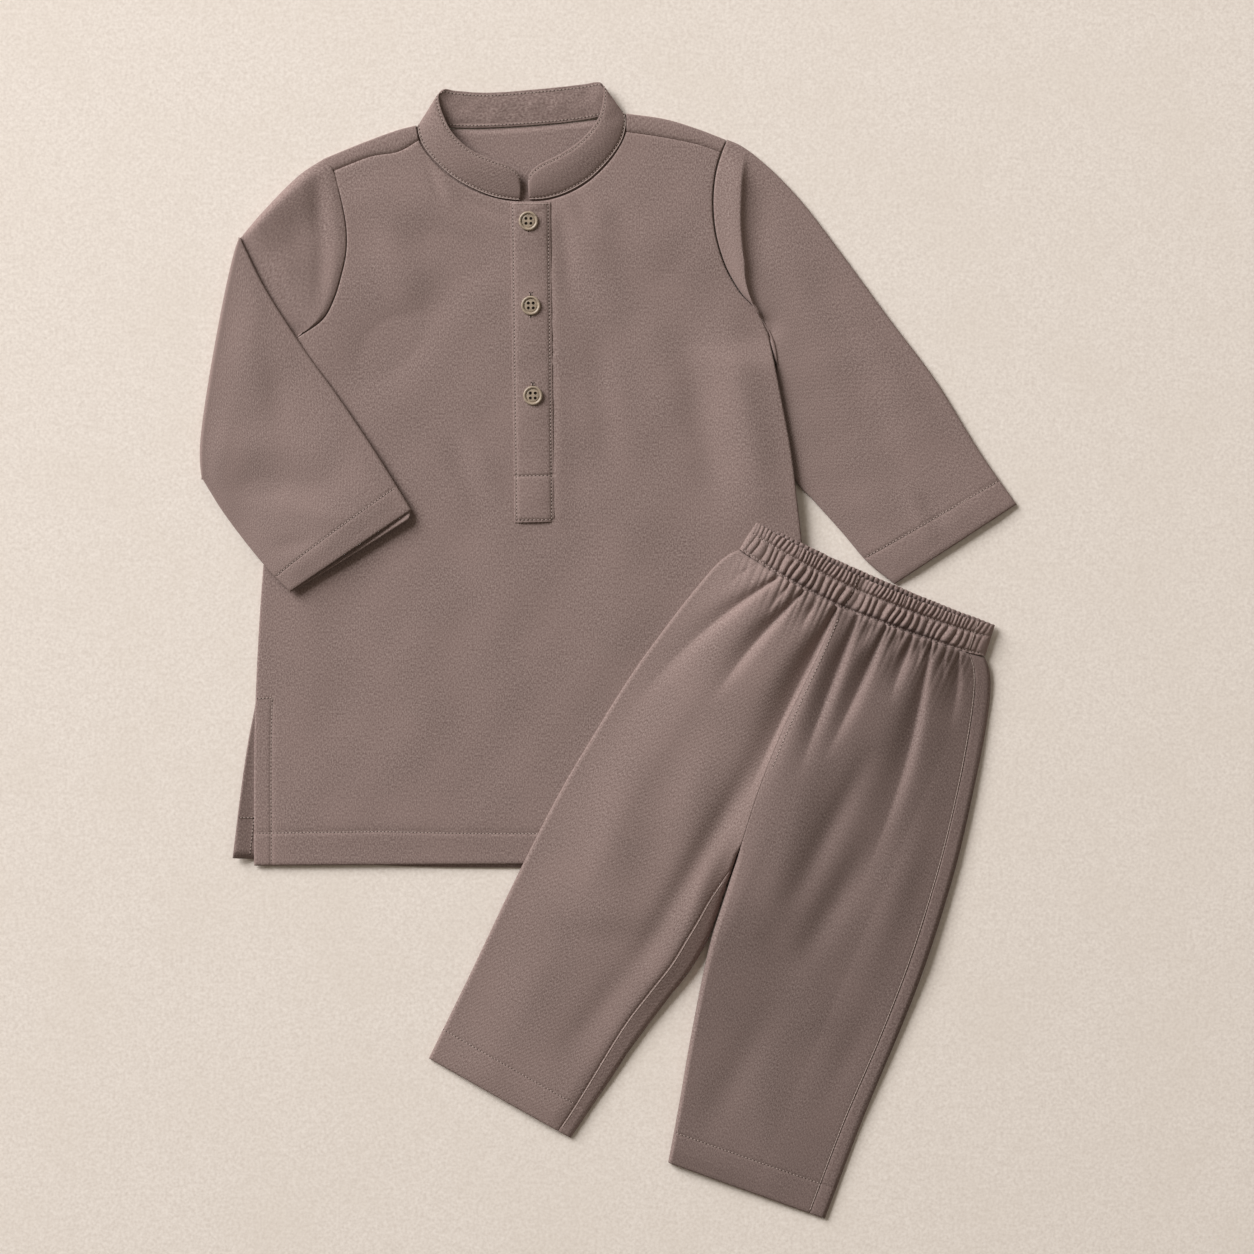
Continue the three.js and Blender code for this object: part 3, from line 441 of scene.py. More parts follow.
def cloth_shell(name, us, vs, place, grain, node, way, present=None, wall=SHELL, cloth=None):
    """A grid of cloth laid over its form, then given its thickness on the inside."""
    bm = bmesh.new()
    bmesh.ops.create_grid(bm, x_segments=len(us) - 1, y_segments=len(vs) - 1, size=0.5)
    column = lambda x: np.rint((x + 0.5) * (len(us) - 1)).astype(int)
    row = lambda y: np.rint((y + 0.5) * (len(vs) - 1)).astype(int)
    if present is not None:
        middles = np.array([f.calc_center_median()[:2] for f in bm.faces])
        i = np.floor((middles[:, 0] + 0.5) * (len(us) - 1)).astype(int)
        j = np.floor((middles[:, 1] + 0.5) * (len(vs) - 1)).astype(int)
        gone = ~present(i, j)
        faces = [f for f, cut in zip(list(bm.faces), gone) if cut]
        bmesh.ops.delete(bm, geom=faces, context="FACES")
    piece = object_from(name, bm)
    mesh = piece.data
    corners = np.empty(3 * len(mesh.vertices), np.float32)
    mesh.vertices.foreach_get("co", corners)
    corners = corners.reshape(-1, 3)
    u, v = us[column(corners[:, 0])], vs[row(corners[:, 1])]
    mesh.vertices.foreach_set("co", (place(u, v) * MM).astype(np.float32).ravel())
    layer = mesh.uv_layers.new(name="grain")
    loop_vertex = np.empty(len(mesh.loops), np.int32)
    mesh.loops.foreach_get("vertex_index", loop_vertex)
    flat = (grain(u, v) * MM)[loop_vertex]
    layer.data.foreach_set("uv", flat.astype(np.float32).ravel())
    mesh.update()
    turn_faces(mesh, way)
    mesh.shade_smooth()
    thick = piece.modifiers.new("thickness", "SOLIDIFY")
    thick.thickness = wall * MM
    thick.offset = -1
    thick.use_rim = True
    dress(piece, cloth or TWILL, "cotton_twill", node)
    return piece


def dress(piece, material, slot, *nodes):
    piece.data.materials.clear()
    piece.data.materials.append(material)
    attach(piece, "root")
    if nodes:
        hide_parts(*nodes)


def bead(length, width, height):
    """A rounded bead along X: one stitch of thread, or one needle hole."""
    bm = bmesh.new()
    bmesh.ops.create_uvsphere(bm, u_segments=6, v_segments=4, radius=0.5)
    size = Matrix.Diagonal((height * MM, width * MM, length * MM, 1))
    bmesh.ops.transform(bm, matrix=Matrix.Rotation(math.pi / 2, 4, "Y") @ size, verts=bm.verts[:])
    mesh = bpy.data.meshes.new("bead")
    bm.to_mesh(mesh)
    bm.free()
    return mesh


def row_of_beads(name, runs, one, shift, lift, material):
    bm = bmesh.new()
    count = len(one.vertices)
    for run in runs:
        run = np.asarray(run, float)
        length = np.concatenate([[0], np.cumsum(np.linalg.norm(np.diff(run, axis=0), axis=1))])
        number = max(int(length[-1] / STITCH_PITCH), 1)
        marks = (np.arange(number) + shift) * length[-1] / number
        at = np.stack([np.interp(marks, length, c) for c in run.T], -1)
        ahead = np.stack([np.interp(marks + 0.6, length, c) for c in run.T], -1)
        behind = np.stack([np.interp(marks - 0.6, length, c) for c in run.T], -1)
        for p, way in zip(at + np.array([0, 0, lift]), ahead - behind):
            turn = Vector(way).to_track_quat("X", "Z").to_matrix().to_4x4()
            start = len(bm.verts)
            bm.from_mesh(one)
            bm.verts.ensure_lookup_table()
            new = bm.verts[start:start + count]
            bmesh.ops.transform(bm, matrix=Matrix.Translation(Vector(p * MM)) @ turn, verts=new)
    bpy.data.meshes.remove(one)
    piece = object_from(name, bm)
    piece.data.shade_smooth()
    dress(piece, material, "cotton_twill")


def sew(name, runs, seams=()):
    """Rows of stitches, with needle holes between them in painted shade, and finer seam ridges
    without.
    Runs are points in mm."""
    thread = bead(STITCH_LENGTH, STITCH_WIDTH, 0.35)
    hole = bead(NEEDLE_HOLE, NEEDLE_HOLE, 0.3)
    row_of_beads(name + "_thread", runs, thread, 0.5, 0.02, THREAD)
    # Needle holes: sunken beads in painted shade
    row_of_beads(name + "_holes", runs, hole, 0.0, -0.08, PAINTED_HOLE_SHADE)
    if seams:
        ridge = bead(STITCH_PITCH * 1.2, 0.45, 0.4)
        row_of_beads(name + "_seams", seams, ridge, 0.5, 0.0, THREAD)


def run_on(place, us, vs, count=300, rise=0.1):
    """Points of a sewn line on a piece, between the given places on it."""
    t = np.linspace(0, 1, count)
    stops = np.linspace(0, 1, len(us))
    points = place(np.interp(t, stops, us), np.interp(t, stops, vs))
    points[:, 2] += rise
    return points


TWILL = brushed_cotton_twill("brushed cotton twill, mauve brown", 0.955)
# A darker copy of the cloth for the right leg: painted shade for a leg that lies turned away from
# the light
TWILL_PAINTED_SHADE = brushed_cotton_twill("brushed cotton twill, painted shade", 0.785)
THREAD = spun_polyester_thread()
BUTTON = turned_polyester_button()
# Near-black painted shade for holes and slots
PAINTED_HOLE_SHADE = buttonhole_shadow()
PAPER = cream_paper()

# Tunic outline, in mm: the side edges run up from the hem, over the armpit, round the armhole
LEFT_SIDE = [(-208.0, -126.5), (-207.5, -38.5), (-202.5, 50.5), (-196.5, 101.0),
             (-189.5, 154.5), (-184.0, 183.5)]
LEFT_ARMHOLE = [(-184.0, 183.5), (-167.0, 195.5), (-160.5, 207.5), (-156.5, 220.5),
                (-153.5, 235.0), (-153.5, 249.5), (-156.5, 266.0), (-161.0, 283.0)]
RIGHT_SIDE = [(127.0, -124.5), (121.5, -52.5), (117.5, 18.5), (114.5, 66.0), (112.0, 88.0),
              (108.5, 116.5), (101.5, 154.5), (95.0, 187.0)]
RIGHT_ARMHOLE = [(95.0, 187.0), (88.0, 201.0), (79.0, 210.5), (70.0, 225.5), (64.5, 242.0),
                 (62.5, 255.0), (62.2, 268.5), (64.0, 283.0), (67.0, 294.0)]
LEFT_FORWARD_SEAM = [(-161.0, 283.0), (-139.0, 291.5), (-122.5, 294.5), (-111.0, 301.0)]
RIGHT_FORWARD_SEAM = [(11.5, 306.0), (35.0, 302.5), (54.0, 298.5), (67.0, 294.0)]
FRONT_NECK = [(-111.0, 301.0), (-109.5, 298.0), (-99.5, 285.5), (-85.0, 274.5), (-71.5, 268.5),
              (-59.0, 265.5), (-45.5, 264.8), (-33.5, 266.0), (-20.5, 270.5), (-9.5, 277.5),
              (2.0, 289.0), (9.0, 300.0), (11.5, 306.0)]
LEFT_SHOULDER = [(-166.5, 290.5), (-142.0, 300.5), (-122.5, 307.5), (-112.5, 310.0)]
BACK_NECK = [(-112.5, 310.0), (-94.0, 308.0), (-71.5, 308.0), (-38.0, 310.0), (-6.0, 313.5),
             (11.5, 317.0)]
RIGHT_SHOULDER = [(11.5, 317.0), (35.0, 313.5), (54.5, 307.5), (70.0, 301.5)]
BACK_SLIT_EDGE = [(-220.5, -122.0), (-216.5, -88.0), (-212.0, -55.5), (-207.0, -29.0)]
BACK_HEM = [(-220.5, -122.0), (-156.5, -125.5), (-104.5, -127.5), (-50.5, -128.0),
            (127.0, -125.5)]
# Shares along the lines: where the neck starts and ends, the armhole starts, and the slit's
# ends on the back and on the front
LEFT_NECK, RIGHT_NECK, ARMHOLE_START, SLIT_END, SLIT_TOP = 0.22, 0.76, 0.76, 0.18, 0.24
SIDE_LENGTH = 409.0
TUNIC_WIDTH = 330.0
SIDE_CURL = 1.6
# Where the right edge stands off the sleeve and where it curls: in from the edge, and upwards
STAND_OFF_IN, STAND_OFF_STARTS, STAND_OFF_ENDS = (60, 9), (20, 96), (166, 186)
CURL_IN, CURL_STARTS, CURL_ENDS = (70, 4), (0, 105), (160, 196)


def seam_x(rows, y):
    xs, ys = zip(*rows)
    return np.interp(y, ys, xs)


def near_right_edge(x, y, inwards, starts, ends):
    """1 at the tunic's right edge between two heights, and 0 away from it."""
    edge = seam_x(RIGHT_SIDE, y)
    return smoothstep(x, edge - inwards[0], edge - inwards[1]) * (
        smoothstep(y, *starts) * (1 - smoothstep(y, *ends)))


def side_lift(x, y):
    """The body's right edge lies on the sleeve that is tucked beneath it, and stands off it."""
    return ON_TUNIC * near_right_edge(x, y, STAND_OFF_IN, STAND_OFF_STARTS, STAND_OFF_ENDS)


def side_curl(x, y):
    """The loose right edge curls up a little beside the sleeve."""
    return SIDE_CURL * near_right_edge(x, y, CURL_IN, CURL_STARTS, CURL_ENDS)


front_patch = patch(
    straight((-208.0, -126.5), (127.0, -124.5)),
    join_lines((LEFT_NECK, smooth_line(LEFT_FORWARD_SEAM)),
               (RIGHT_NECK, smooth_line(FRONT_NECK)),
               (1, smooth_line(RIGHT_FORWARD_SEAM))),
    join_lines((ARMHOLE_START, smooth_line(LEFT_SIDE)), (1, smooth_line(LEFT_ARMHOLE))),
    join_lines((ARMHOLE_START, smooth_line(RIGHT_SIDE)), (1, smooth_line(RIGHT_ARMHOLE))),
)

# Soft folds of the tunic's front, from the photo: hollows by the folded sleeve and the placket
FRONT_FOLDS = [
    (-158, 150, -84, 226, -1.3, 15),
    (-128, 248, -70, 232, -0.9, 12),
    (-136, 262, -110, 196, 1.1, 13),
    (-30, 262, -22, 214, -0.9, 6),
    (-18, 268, 2, 206, 1.0, 12),
    (8, 258, 40, 226, 1.0, 14),
    (22, 200, 44, 120, 0.8, 14),
    (-8, 190, 2, 110, -0.7, 9),
    (-84, 130, -64, 96, 0.6, 7),
    (-92, 118, -74, 84, -0.6, 6),
    (74, 180, 92, 96, 1.2, 14),
    (48, 178, 66, 90, -0.9, 10),
    (-64, 60, -70, -50, 0.5, 16),
    (-150, 60, -160, -60, -0.5, 18),
    (20, 70, -20, -40, 0.6, 20),
    (-108, 290, -98, 268, -0.6, 3.0),
    (-103, 288, -90, 266, 0.5, 3.5),
    (-84, 268, -62, 256, -0.6, 3.2),
    (-20, 266, -8, 248, -0.6, 4.0),
    (-12, 268, 4, 252, 0.5, 4.5),
    (-110, 20, -118, -90, 0.5, 18),
]


# The folds fade towards the sides, the hem and the shoulders, and under the trousers
FOLDS_FADE_LEFT, FOLDS_FADE_RIGHT = (-204, -170), 26
FOLDS_FADE_LOW, FOLDS_FADE_HIGH = (-124, -98), (262, 300)
FOLD_STRENGTH, FRONT_UNEVEN, FRONT_LOFT = 1.4, 0.6, 1.0
# The front's cloth is eased up against the placket's right edge
EASED_UP, EASED_WIDTH = 0.7, 9


def front_relief(x, y):
    right = seam_x(RIGHT_SIDE, y)
    edge = np.minimum(smoothstep(x, *FOLDS_FADE_LEFT),
                      1 - smoothstep(x, right - FOLDS_FADE_RIGHT, right))
    up = smoothstep(y, *FOLDS_FADE_LOW) * (1 - smoothstep(y, *FOLDS_FADE_HIGH))
    folds = FOLD_STRENGTH * ridges(x, y, FRONT_FOLDS) + unevenness(x, y, 11, FRONT_UNEVEN)
    folds = folds + FRONT_LOFT
    towards_trousers = x * ACROSS_TROUSERS[0] + y * ACROSS_TROUSERS[1]
    under_trousers = 1 - smoothstep(towards_trousers, 34, 60) * (1 - smoothstep(y, 70, 95))
    beside = x - seam_x(PLACKET["right"], y)
    eased_up = EASED_UP * np.exp(-(np.maximum(beside - 1, 0) / EASED_WIDTH) ** 2)
    eased_up = eased_up * smoothstep(beside, 0, 1) * (
        smoothstep(y, 70, 84) * (1 - smoothstep(y, 256, 266)))
    return np.maximum(folds * edge * up * under_trousers, 0) + eased_up


def front_place(u, v):
    p = front_patch(u, v)
    x, y = p[..., 0], p[..., 1]
    hem = v * SIDE_LENGTH
    side = np.minimum(u, 1 - u) * TUNIC_WIDTH
    top = (1 - v) * SIDE_LENGTH * 0.9
    z = FLAT_TUBE + side_lift(x, y) + side_curl(x, y) + front_relief(x, y)
    z = z + 0.25 * (1 - smoothstep(hem, HEM, HEM + 0.8)) + dip(hem - HEM, *SEWN_DIP)
    left = u * TUNIC_WIDTH
    slit = 1 - smoothstep(y, -31, -28)
    z = z + slit * dip(left - SLIT_FACING, *SEWN_DIP)
    z = z + seam_roll(side) + seam_roll(top) + edge_roll(hem)
    return np.stack([x, y, z], -1)


def tunic_front():
    fine = 0.9 / TUNIC_WIDTH
    us = with_lines(stations([0, LEFT_NECK, RIGHT_NECK, 1], [30, 74, 34]),
                    [0.0, 1.0, SLIT_FACING / TUNIC_WIDTH], fine)
    vs = with_lines(stations([0, ARMHOLE_START, 1], [118, 44]),
                    [0.0, 1.0, HEM / SIDE_LENGTH], 0.9 / SIDE_LENGTH)
    piece = cloth_shell("tunic_front_cloth", us, vs, front_place,
                        lambda u, v: front_patch(u, v), "tunic_front", "up")
    hem_v = HEM / SIDE_LENGTH
    slit_u = SLIT_FACING / TUNIC_WIDTH
    low = 3 / SIDE_LENGTH
    return piece, [
        run_on(front_place, [0.01, 0.99], [hem_v, hem_v]),
        run_on(front_place, [slit_u, slit_u], [low, SLIT_TOP]),
        run_on(front_place, [0.004, slit_u], [SLIT_TOP, SLIT_TOP], 20),
    ]


back_patch = patch(
    smooth_line(BACK_HEM),
    join_lines((LEFT_NECK, smooth_line(LEFT_SHOULDER)),
               (RIGHT_NECK, smooth_line(BACK_NECK)),
               (1, smooth_line(RIGHT_SHOULDER))),
    join_lines((SLIT_END, smooth_line(BACK_SLIT_EDGE)),
               (ARMHOLE_START, smooth_line([(-207.0, -29.0), *LEFT_SIDE[2:]])),
               (1, smooth_line([*LEFT_ARMHOLE, (-166.5, 290.5)]))),
    join_lines((ARMHOLE_START, smooth_line(RIGHT_SIDE)),
               (1, smooth_line([*RIGHT_ARMHOLE, (70.0, 301.5)]))),
)
forward_seam = join_lines(
    (LEFT_NECK, smooth_line(LEFT_FORWARD_SEAM)),
    (RIGHT_NECK, straight(LEFT_FORWARD_SEAM[-1], RIGHT_FORWARD_SEAM[0])),
    (1, smooth_line(RIGHT_FORWARD_SEAM)),
)
# The back's part beside the slit, seen past the front's edge, curls up at its outer edge
SLIT_SLOPE, SLIT_CURL = 0.3, 2.9
SLIT_TOP_START, SLIT_TOP_FULL = 26, 44


def back_place(u, v):
    """Flat up to v = 1, over the shoulder fold up to 2, and down to the forward seam at 3."""
    p = back_patch(u, np.minimum(v, 1))
    x, y = p[..., 0], p[..., 1]
    on_wrap = (u <= LEFT_NECK + 1e-6) | (u >= RIGHT_NECK - 1e-6)
    showing = np.maximum(seam_x(LEFT_SIDE, y) - x - SEAM_GAP, 0)
    showing = showing * smoothstep(-y, SLIT_TOP_START, SLIT_TOP_FULL)
    z = side_lift(x, y) + np.minimum(SLIT_SLOPE * showing, SLIT_CURL)
    angle = (np.clip(v, 1, 2) - 1) * np.pi
    folded_y = y - SHOULDER_RADIUS + SHOULDER_RADIUS * np.sin(angle)
    folded_z = SHOULDER_RADIUS - SHOULDER_RADIUS * np.cos(angle)
    seam = forward_seam(u) + np.array([0, 2 * HALF_GAP])
    down = np.clip(v - 2, 0, 1)
    width = np.hypot(x - seam[..., 0], y - seam[..., 1])
    belly = 0.35 * np.sin(np.pi * down)
    wrap_z = folded_z + belly + np.where(v > 2, edge_roll((1 - down) * width), 0)
    turned = on_wrap & (v >= 1)
    out_x = np.where(turned, x + (seam[..., 0] - x) * down, x)
    out_y = np.where(turned, folded_y + (seam[..., 1] - folded_y) * down, y)
    out_z = np.where(turned, wrap_z, z)
    return np.stack([out_x, out_y, out_z], -1)


def tunic_back():
    us = with_lines(stations([0, LEFT_NECK, RIGHT_NECK, 1], [24, 44, 24]),
                    [0.0, 1.0, LEFT_NECK, RIGHT_NECK], 0.9 / TUNIC_WIDTH)
    flat = stations([0, SLIT_END, ARMHOLE_START, 1], [16, 50, 26])
    fold = np.linspace(1, 2, 9)[1:]
    wrap = np.array([2.2, 2.4, 2.6, 2.8, 2.9, 2.96, 3.0])
    vs = np.concatenate([flat, fold, wrap])
    rows = len(flat) - 1

    def present(i, j):
        middle = (us[i] + us[i + 1]) / 2
        return (j < rows) | (middle < LEFT_NECK) | (middle > RIGHT_NECK)

    piece = cloth_shell("tunic_back_cloth", us, vs, back_place,
                        lambda u, v: back_patch(u, np.minimum(v, 1)) + np.stack(
                            [0 * v, 8 * np.maximum(v - 1, 0)], -1), "tunic_back",
                        "down", present=present)
    inside = lambda u, v: back_place(u, v) + np.array([0, 0, CLOTH])
    hem_v = HEM / SIDE_LENGTH
    return piece, [
        run_on(inside, [0.003, 0.12], [hem_v, hem_v]),
        run_on(inside, [0.028, 0.028], [0.005, SLIT_END], 60),
    ]


# Placket

PLACKET = {"left": ((-54.5, 75.5), (-57.0, 264.6)), "right": ((-31.0, 76.0), (-33.2, 264.8))}
PLACKET_WIDTH, PLACKET_LENGTH = 23.6, 189.0
PLACKET_STITCH_IN = 1.5
PLACKET_BOX = 27.5


def placket_place(u, v):
    left = straight(*PLACKET["left"])(v)
    right = straight(*PLACKET["right"])(v)
    p = mix(left, right, u)
    x, y = p[..., 0], p[..., 1]
    across = np.minimum(u, 1 - u) * PLACKET_WIDTH
    up, down = v * PLACKET_LENGTH, (1 - v) * PLACKET_LENGTH
    z = PLACKET_TOP + front_relief(x, y) + 0.25 * unevenness(x * 2.2, y * 1.6, 5)
    z = z + 0.25 * np.sin(np.pi * u) - 0.35 * smoothstep(u, 0.6, 1)
    z = z + ridges(x, y, [(-50, 258.5, -38, 261.5, 0.5, 2.2), (-52, 256, -36, 260, -0.5, 1.6)])
    z = z + dip(across - PLACKET_STITCH_IN, *PLACKET_DIP)
    z = z + dip(up - PLACKET_STITCH_IN, *PLACKET_DIP) + dip(up - PLACKET_BOX, *PLACKET_DIP)
    z = z + edge_roll(across) + edge_roll(up) + edge_roll(down)
    return np.stack([x, y, z], -1)


def placket():
    inset = PLACKET_STITCH_IN / PLACKET_WIDTH
    us = with_lines(stations([0, 1], [16]), [0.0, inset, 1 - inset, 1.0], 0.35 / PLACKET_WIDTH)
    low, box = PLACKET_STITCH_IN / PLACKET_LENGTH, PLACKET_BOX / PLACKET_LENGTH
    vs = with_lines(stations([0, 1], [110]), [0.0, low, box, 1.0], 0.4 / PLACKET_LENGTH)
    piece = cloth_shell("placket_cloth", us, vs, placket_place,
                        lambda u, v: placket_place(u, v)[..., :2], "placket", "up")
    return piece, [
        run_on(placket_place, [inset, inset], [low, 0.99]),
        run_on(placket_place, [1 - inset, 1 - inset], [low, 0.99]),
        run_on(placket_place, [inset, 1 - inset], [low, low], 40),
        run_on(placket_place, [inset, 1 - inset], [box, box], 40),
    ]


# Band collar: each row gives its foot and its upper edge, from one front end to the other
COLLAR_ROWS = [
    (-50.9, 266.0, 2.3, -50.7, 276.0, 7.5),
    (-56.5, 266.2, 2.3, -52.0, 281.0, 10.0),
    (-66.5, 267.8, 2.3, -57.4, 285.6, 12.0),
    (-78.0, 272.2, 2.3, -68.0, 289.4, 13.0),
    (-90.0, 278.9, 2.3, -79.5, 294.4, 13.5),
    (-101.0, 288.6, 2.3, -89.5, 303.0, 14.0),
    (-108.5, 298.5, 2.4, -95.5, 313.0, 14.0),
    (-111.4, 307.5, 2.4, -99.3, 326.0, 12.0),
    (-109.0, 311.0, 1.7, -96.0, 331.0, 7.0),
    (-94.0, 309.0, 0.3, -88.0, 330.0, 3.4),
    (-71.5, 308.6, 0.3, -68.0, 329.0, 2.6),
    (-38.0, 310.6, 0.3, -36.5, 331.5, 2.6),
    (-12.0, 313.6, 0.3, -13.0, 334.0, 3.4),
    (6.6, 317.8, 1.7, -4.5, 335.0, 7.0),
    (11.0, 313.7, 2.5, -1.8, 330.5, 10.0),
    (9.9, 304.2, 2.4, -3.5, 317.5, 11.0),
    (5.6, 295.6, 2.3, -9.0, 307.5, 11.0),
    (-2.5, 285.6, 2.3, -17.5, 299.0, 11.0),
    (-12.0, 277.0, 2.3, -28.5, 292.0, 11.2),
    (-24.5, 270.0, 2.3, -39.5, 286.6, 11.0),
    (-36.0, 266.8, 2.3, -45.2, 281.5, 10.0),
    (-46.0, 266.2, 2.3, -46.5, 276.0, 7.5),
]
COLLAR_LENGTH, COLLAR_HEIGHT = 300.0, 21.0
COLLAR_LIMP = 0.56
LOW_STITCH_IN, HIGH_STITCH_IN = 1.4, 1.7
COLLAR_STITCHES = LOW_STITCH_IN / COLLAR_HEIGHT, 1 - HIGH_STITCH_IN / COLLAR_HEIGHT


def row_line(rows):
    """A smooth line through the rows, evenly by row."""
    points = np.array(rows, float)
    points = np.vstack([2 * points[0] - points[1], points, 2 * points[-1] - points[-2]])
    count = len(rows) - 1

    def line(t):
        s = np.clip(np.asarray(t, float), 0, 1) * count
        i = np.minimum(s.astype(int), count - 1)
        f = (s - i)[..., None]
        p0, p1, p2, p3 = (points[i + k] for k in range(4))
        return 0.5 * (2 * p1 + (p2 - p0) * f + (2 * p0 - 5 * p1 + 4 * p2 - p3) * f**2
                      + (3 * p1 - p0 - 3 * p2 + p3) * f**3)

    return line


collar_foot = row_line([r[:3] for r in COLLAR_ROWS])
collar_top = row_line([(x, y, z * COLLAR_LIMP) for _, _, _, x, y, z in COLLAR_ROWS])


def collar_outwards(u):
    """The way the band's outer face looks."""
    ahead = collar_foot(u + 0.004) - collar_foot(u - 0.004)
    out = np.cross(collar_top(u) - collar_foot(u), ahead)
    return out / np.maximum(np.linalg.norm(out, axis=-1), 1e-9)[..., None]


def collar_place(u, v):
    p = mix(collar_foot(u), collar_top(u), v)
    out = collar_outwards(u)
    height, along = v * COLLAR_HEIGHT, np.minimum(u, 1 - u) * COLLAR_LENGTH
    bulge = 0.9 * np.sin(np.pi * v) + 0.25 * unevenness(u * 260, v * 30, 3)
    bulge = bulge + dip(height - LOW_STITCH_IN, 0.6, 0.35)
    bulge = bulge + dip(COLLAR_HEIGHT - height - HIGH_STITCH_IN, 0.6, 0.4)
    bulge = bulge + edge_roll(COLLAR_HEIGHT - height) + edge_roll(along)
    lying = smoothstep(p[..., 1] - 308, 0, 6) * (1 - smoothstep(p[..., 2], 3.5, 7))
    p = p + out * (bulge * (1 - lying))[..., None]
    soft = 0.85 * unevenness(p[..., 0] * 3.2, p[..., 1] * 3.0, 8) + 0.5
    p[..., 2] += np.maximum(soft, 0) * lying * np.sin(np.pi * v)
    return p


def collar():
    us = with_lines(stations([0, 1], [190]), [0.0, 1.0], 0.5 / COLLAR_LENGTH)
    vs = with_lines(stations([0, 1], [14]), [0.0, *COLLAR_STITCHES, 1.0],
                    0.35 / COLLAR_HEIGHT)
    piece = cloth_shell("collar_cloth", us, vs, collar_place,
                        lambda u, v: np.stack([u * COLLAR_LENGTH, v * COLLAR_HEIGHT], -1),
                        "collar", "ring", wall=COLLAR_WALL)
    return piece


def collar_stitches():
    """Both faces are sewn: the outer one shows at the front, the inner one at the back."""
    end = 1.8 / COLLAR_LENGTH

    def row(start, stop, v, side):
        t = np.linspace(start, stop, 160)
        proud = 0.08
        off = proud if side > 0 else -COLLAR_WALL - proud
        return collar_place(t, np.full_like(t, v)) + collar_outwards(t) * off

    parts = ((end, 0.36, 1), (0.38, 0.62, -1), (0.64, 1 - end, 1))
    runs = [row(start, stop, v, side) for v in COLLAR_STITCHES for start, stop, side in parts]
    return runs, [row(start, stop, 0.02, 1) for start, stop in ((end, 0.36), (0.64, 1 - end))]


# Sleeves

def tube_section(along, width):
    """A flattened tube: distance round it from the middle of its first edge, over the top."""
    half = width - 2 * EDGE_SOFTNESS + 2 * QUARTER
    turn = np.mod(along, 2 * half)
    upper = turn < half
    s = np.where(upper, turn, 2 * half - turn)
    near = np.clip(s / QUARTER, 0, 1) * np.pi / 2
    far = np.clip((half - s) / QUARTER, 0, 1) * np.pi / 2
    across = s - QUARTER + EDGE_SOFTNESS
    across = np.where(s < QUARTER, EDGE_SOFTNESS - EDGE_SOFTNESS * np.cos(near), across)
    across = np.where(s > half - QUARTER, width - EDGE_SOFTNESS + EDGE_SOFTNESS * np.cos(far),
                      across)
    level = np.minimum(np.sin(near), np.sin(far))
    return across, np.where(upper, level, -level)


def placed_between(share, marks, places):
    """The distance round a tube that each share of its columns gets, straight between marks."""
    along = np.zeros_like(share)
    for a, b, start, stop in zip(marks, marks[1:], places, places[1:]):
        here = (share >= a - 1e-9) & (share <= b + 1e-9)
        along = np.where(here, start + (stop - start) * (share - a) / (b - a), along)
    return along


# Shares round a sleeve: the underside, the turn at its first edge, and the upper side
SLEEVE_MARKS = [-0.5, -0.48, -0.02, 0.02, 0.48, 0.5]
SLEEVE_ENDS = 0.497


def sleeve_section(share, width):
    """A share round the sleeve, from -0.5 at the underarm seam, under it, and back to 0.5."""
    half = width - 2 * EDGE_SOFTNESS + 2 * QUARTER
    places = [-half + HALF_GAP, -half + QUARTER, -QUARTER + 0 * half, QUARTER + 0 * half,
              half - QUARTER, half - HALF_GAP]
    return tube_section(placed_between(share, SLEEVE_MARKS, places), width)


def tucked_in(x, y, z, underarm):
    """At the underarm point both layers of the sleeve lie pressed under the body's edge."""
    far = np.hypot(x - underarm[0], y - underarm[1])
    near = np.exp(-(far / UNDERARM_REACH) ** 2)
    return z + (UNDERARM_LEVEL - z) * 0.9 * near


def sleeve_columns(flat_count):
    counts = [5, flat_count, 10, flat_count, 5]
    return stations([-SLEEVE_ENDS, *SLEEVE_MARKS[1:-1], SLEEVE_ENDS], counts)


def tube_z(level, height):
    return height / 2 + level * height / 2


def eased(line, power=1.8):
    return lambda t: line(np.asarray(t, float) ** power)


def shifted(rows, dx, dy):
    return [(x + dx, y + dy) for x, y in rows]


ARMHOLE_GAP = 0.2
UNDERARM_TUCK, LEFT_UNDERARM, RIGHT_UNDERARM = 1.0, (-184.0, 184.0), (93.5, 190.5)
UNDERARM_LEVEL, UNDERARM_REACH = 0.95, 8.0
SLEEVE_LENGTH = 270.0
open_upper = smooth_line([(70.6, 301.7), (79.0, 298.0), (94.0, 286.5), (114.0, 266.0),
                          (139.0, 233.5), (166.5, 196.0), (193.5, 160.0), (220.5, 116.5),
                          (241.5, 86.5)])
open_lower = eased(smooth_line([(94.6, 187.0), (99.6, 170.0), (99.4, 150.0), (104.0, 116.5),
                                (111.5, 99.5), (121.0, 89.5), (139.0, 69.5), (153.5, 52.5),
                                (169.5, 39.5)]), 1.35)
open_patch = patch(
    smooth_line([(x + ARMHOLE_GAP - UNDERARM_TUCK * (1 - smoothstep(y, 192, 220)),
                  y + ARMHOLE_GAP / 2)
                 for x, y in [(69.8, 301.3), *RIGHT_ARMHOLE[::-1][1:]]]),
    straight((241.5, 86.5), (169.5, 39.5)), open_upper, open_lower)
RIDGE_ACROSS, RIDGE_DISTANCE = [0, 0.2, 0.5, 0.75, 1], [12, 20, 29, 24, 12]
RIDGE_HEIGHT, STEEP_SHARE, STEEP_RUN, SOFT_RUN = 4.8, 0.35, 1.3, 7.0
STITCH_RISE = 0.14
